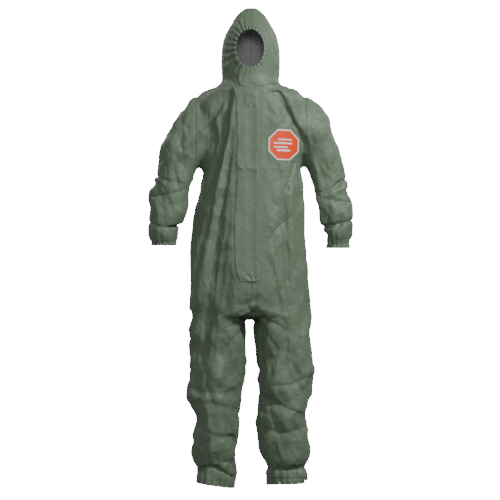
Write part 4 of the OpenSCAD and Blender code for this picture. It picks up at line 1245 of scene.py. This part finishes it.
def hard_material(name, colour, rough, coat, grain):
    """A moulded or enamelled surface: faint mottling, uneven gloss and fine handling marks."""
    material, tree, shader, place = new_material(name)
    shader.inputs["Coat Weight"].default_value = coat
    shader.inputs["Coat Roughness"].default_value = 0.15
    wire(tree, tones(tree, noise(tree, place, grain / 4, 4), colour, 0.8, 1.5), shader.inputs["Base Color"])
    uneven = maths(tree, "MULTIPLY_ADD", noise(tree, place, grain / 2, 4, 0.7), 0.2, rough - 0.1)
    wire(tree, uneven, shader.inputs["Roughness"])
    rise(tree, noise(tree, place, grain, 3), 0.00004)
    return material


tooth_plastic = hard_material("tooth_plastic", (0.018, 0.018, 0.019), 0.34, 0.0, 800)
enamel = hard_material("enamel", (0.022, 0.022, 0.024), 0.30, 0.5, 1400)
for node, material, finish, round_by in (
        ("zip_teeth_left", tooth_plastic, "zip_teeth", 0.0003),
        ("zip_teeth_right", tooth_plastic, "zip_teeth", 0.0003),
        ("zip_top_stops", tooth_plastic, "zip_teeth", 0.0003),
        ("zip_bottom_stop", tooth_plastic, "zip_teeth", 0.0005),
        ("zip_slider", enamel, "zip_metal", 0.0002), ("zip_pull", enamel, "zip_metal", 0.0002)):
    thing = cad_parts[node]
    thing.data.materials.clear()
    thing.data.materials.append(material)
    bevel = thing.modifiers.new("edges", "BEVEL")
    bevel.width = round_by
    bevel.segments = 2
    bevel.limit_method = "ANGLE"

low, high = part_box("inner_flap")
rows = np.linspace(low.z, high.z, 260)[:, None]
cols = np.linspace(low.x, high.x, 28)[None, :]
share = (rows - low.z) / (high.z - low.z)
slack = 0.0009 * np.sin(rows * 37 + 1.3 * np.sin(rows * 14)) * (1 + np.sin(cols * 60))
flat_points = spread(cols, 0.0, rows).reshape(-1, 3)
fold = (crumple(flat_points, 0.050, 17) - 0.5).reshape(slack.shape)
flap_y = low.y + (high.y - low.y - 0.0012) * share + 0.0012 + np.abs(slack) + 0.0012 * np.abs(fold)
# The laminate darkens the inner flap along a line 6 mm in from its sides, as painted shade.
inner_flap_shade_gap = np.minimum(np.abs(np.abs(cols) * 1000 - (high.x * 1000 - 6)) + 0.5 + 0 * rows, 40)
inner_flap = ribbon("inner_flap_cloth", spread(cols, flap_y, rows), 0.0004, outer_film, inner_face,
                    edge=inner_flap_shade_gap)
fit(inner_flap, "torso", "inner_flap")

# ---- Chest label --------------------------------------------------------------------------------
# An orange octagon of printed film in a white border, heat-sealed to the chest. Plain white bars
# stand in for its print.
label_orange = strip_material("label_orange_film", (0.78, 0.060, 0.007), 0.36, 900, 0.00004)
label_white = strip_material("label_white_film", (0.78, 0.78, 0.76), 0.40, 900, 0.00004)
LABEL_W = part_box("label_border")[1].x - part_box("label_border")[0].x
FACE_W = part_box("label_face")[1].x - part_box("label_face")[0].x
LABEL_TURN = np.radians(-2)


def on_label(across, up, lift):
    """Points on the chest under the label, from distances across and up it and a lift, in metres."""
    x = LABEL_MID.x + across * np.cos(LABEL_TURN) - up * np.sin(LABEL_TURN)
    z = LABEL_MID.z + across * np.sin(LABEL_TURN) + up * np.cos(LABEL_TURN)
    y = even_terms(x, z) @ even_fit - lift
    return np.stack([x, y, z], -1)


def octagon(width, inner, lift, rows):
    """A ring of an octagon as a grid: width across its flats, inner the share of it left open.

    Along each direction the octagon's edge is half the width over the cosine of the angle to the
    nearest flat."""
    angle = np.linspace(0, 2 * np.pi, 192, endpoint=False)[None, :]
    flat_turn = (angle + np.pi / 8) % (np.pi / 4) - np.pi / 8
    reach = width / 2 / np.cos(flat_turn)
    share = np.linspace(1, inner, rows)[:, None]
    edge_drop = 0.0002 * smooth(0.97, 1.0, share)
    return on_label(share * reach * np.cos(angle), share * reach * np.sin(angle), lift - edge_drop)


LAYERS = [("label_border_film", "label_border", octagon(LABEL_W, FACE_W / LABEL_W - 0.01, 0.0011, 8),
           label_white, "label_white"),
          ("label_face_film", "label_face", octagon(FACE_W, 0.004, 0.0013, 30), label_orange, "label_orange")]
for name, node, grid, material, finish in LAYERS:
    layer = ribbon(name, grid, 0.0003, material, wrap=True)
    fit(layer, "torso", node)
BAR_LIFT = 0.00142
# Height, left end, right end and width of each bar, in mm.
for number, (up, left_end, right_end, tall) in enumerate(
        [(20, -22, 30, 6), (6, -38, 32, 6), (-9, -38, 16, 5), (-21, -26, 26, 7)]):
    t = np.linspace(0, 1, 60)[None, :]
    v = np.linspace(-1, 1, 9)[:, None]
    middle, half = (left_end + right_end) / 2 * MM, (right_end - left_end) / 2 * MM
    blunt = np.sqrt(np.clip(1 - np.abs(2 * t - 1) ** 60, 0, 1))
    bar_grid = on_label(middle + half * (2 * t - 1) + 0 * v, up * MM + tall / 2 * MM * v * blunt, BAR_LIFT)
    bar = ribbon(f"label_bar_{number + 1}", bar_grid, 0.00012, label_white)
    fit(bar, "torso", "label_bars")

# ---- Size label ---------------------------------------------------------------------------------
# A folded satin ribbon sewn into the back of the neck, left plain.
satin = woven("satin", (0.78, 0.78, 0.76), 4200, 9000, 0.00005, 0.35, 0.4)
low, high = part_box("size_label")
rows = np.linspace(low.z, high.z, 40)[:, None]
cols = np.linspace(low.x, high.x, 30)[None, :]
curl = 0.003 * ((rows - high.z) / (high.z - low.z)) ** 2 + 0.0008 * np.sin(cols * 160)
AHEAD_OF_BACK = 0.013
tag = ribbon("size_label_ribbon", spread(cols, low.y - AHEAD_OF_BACK - curl, rows), 0.0003, satin)
fit(tag, "torso", "size_label")

bpy.data.objects.remove(skin)
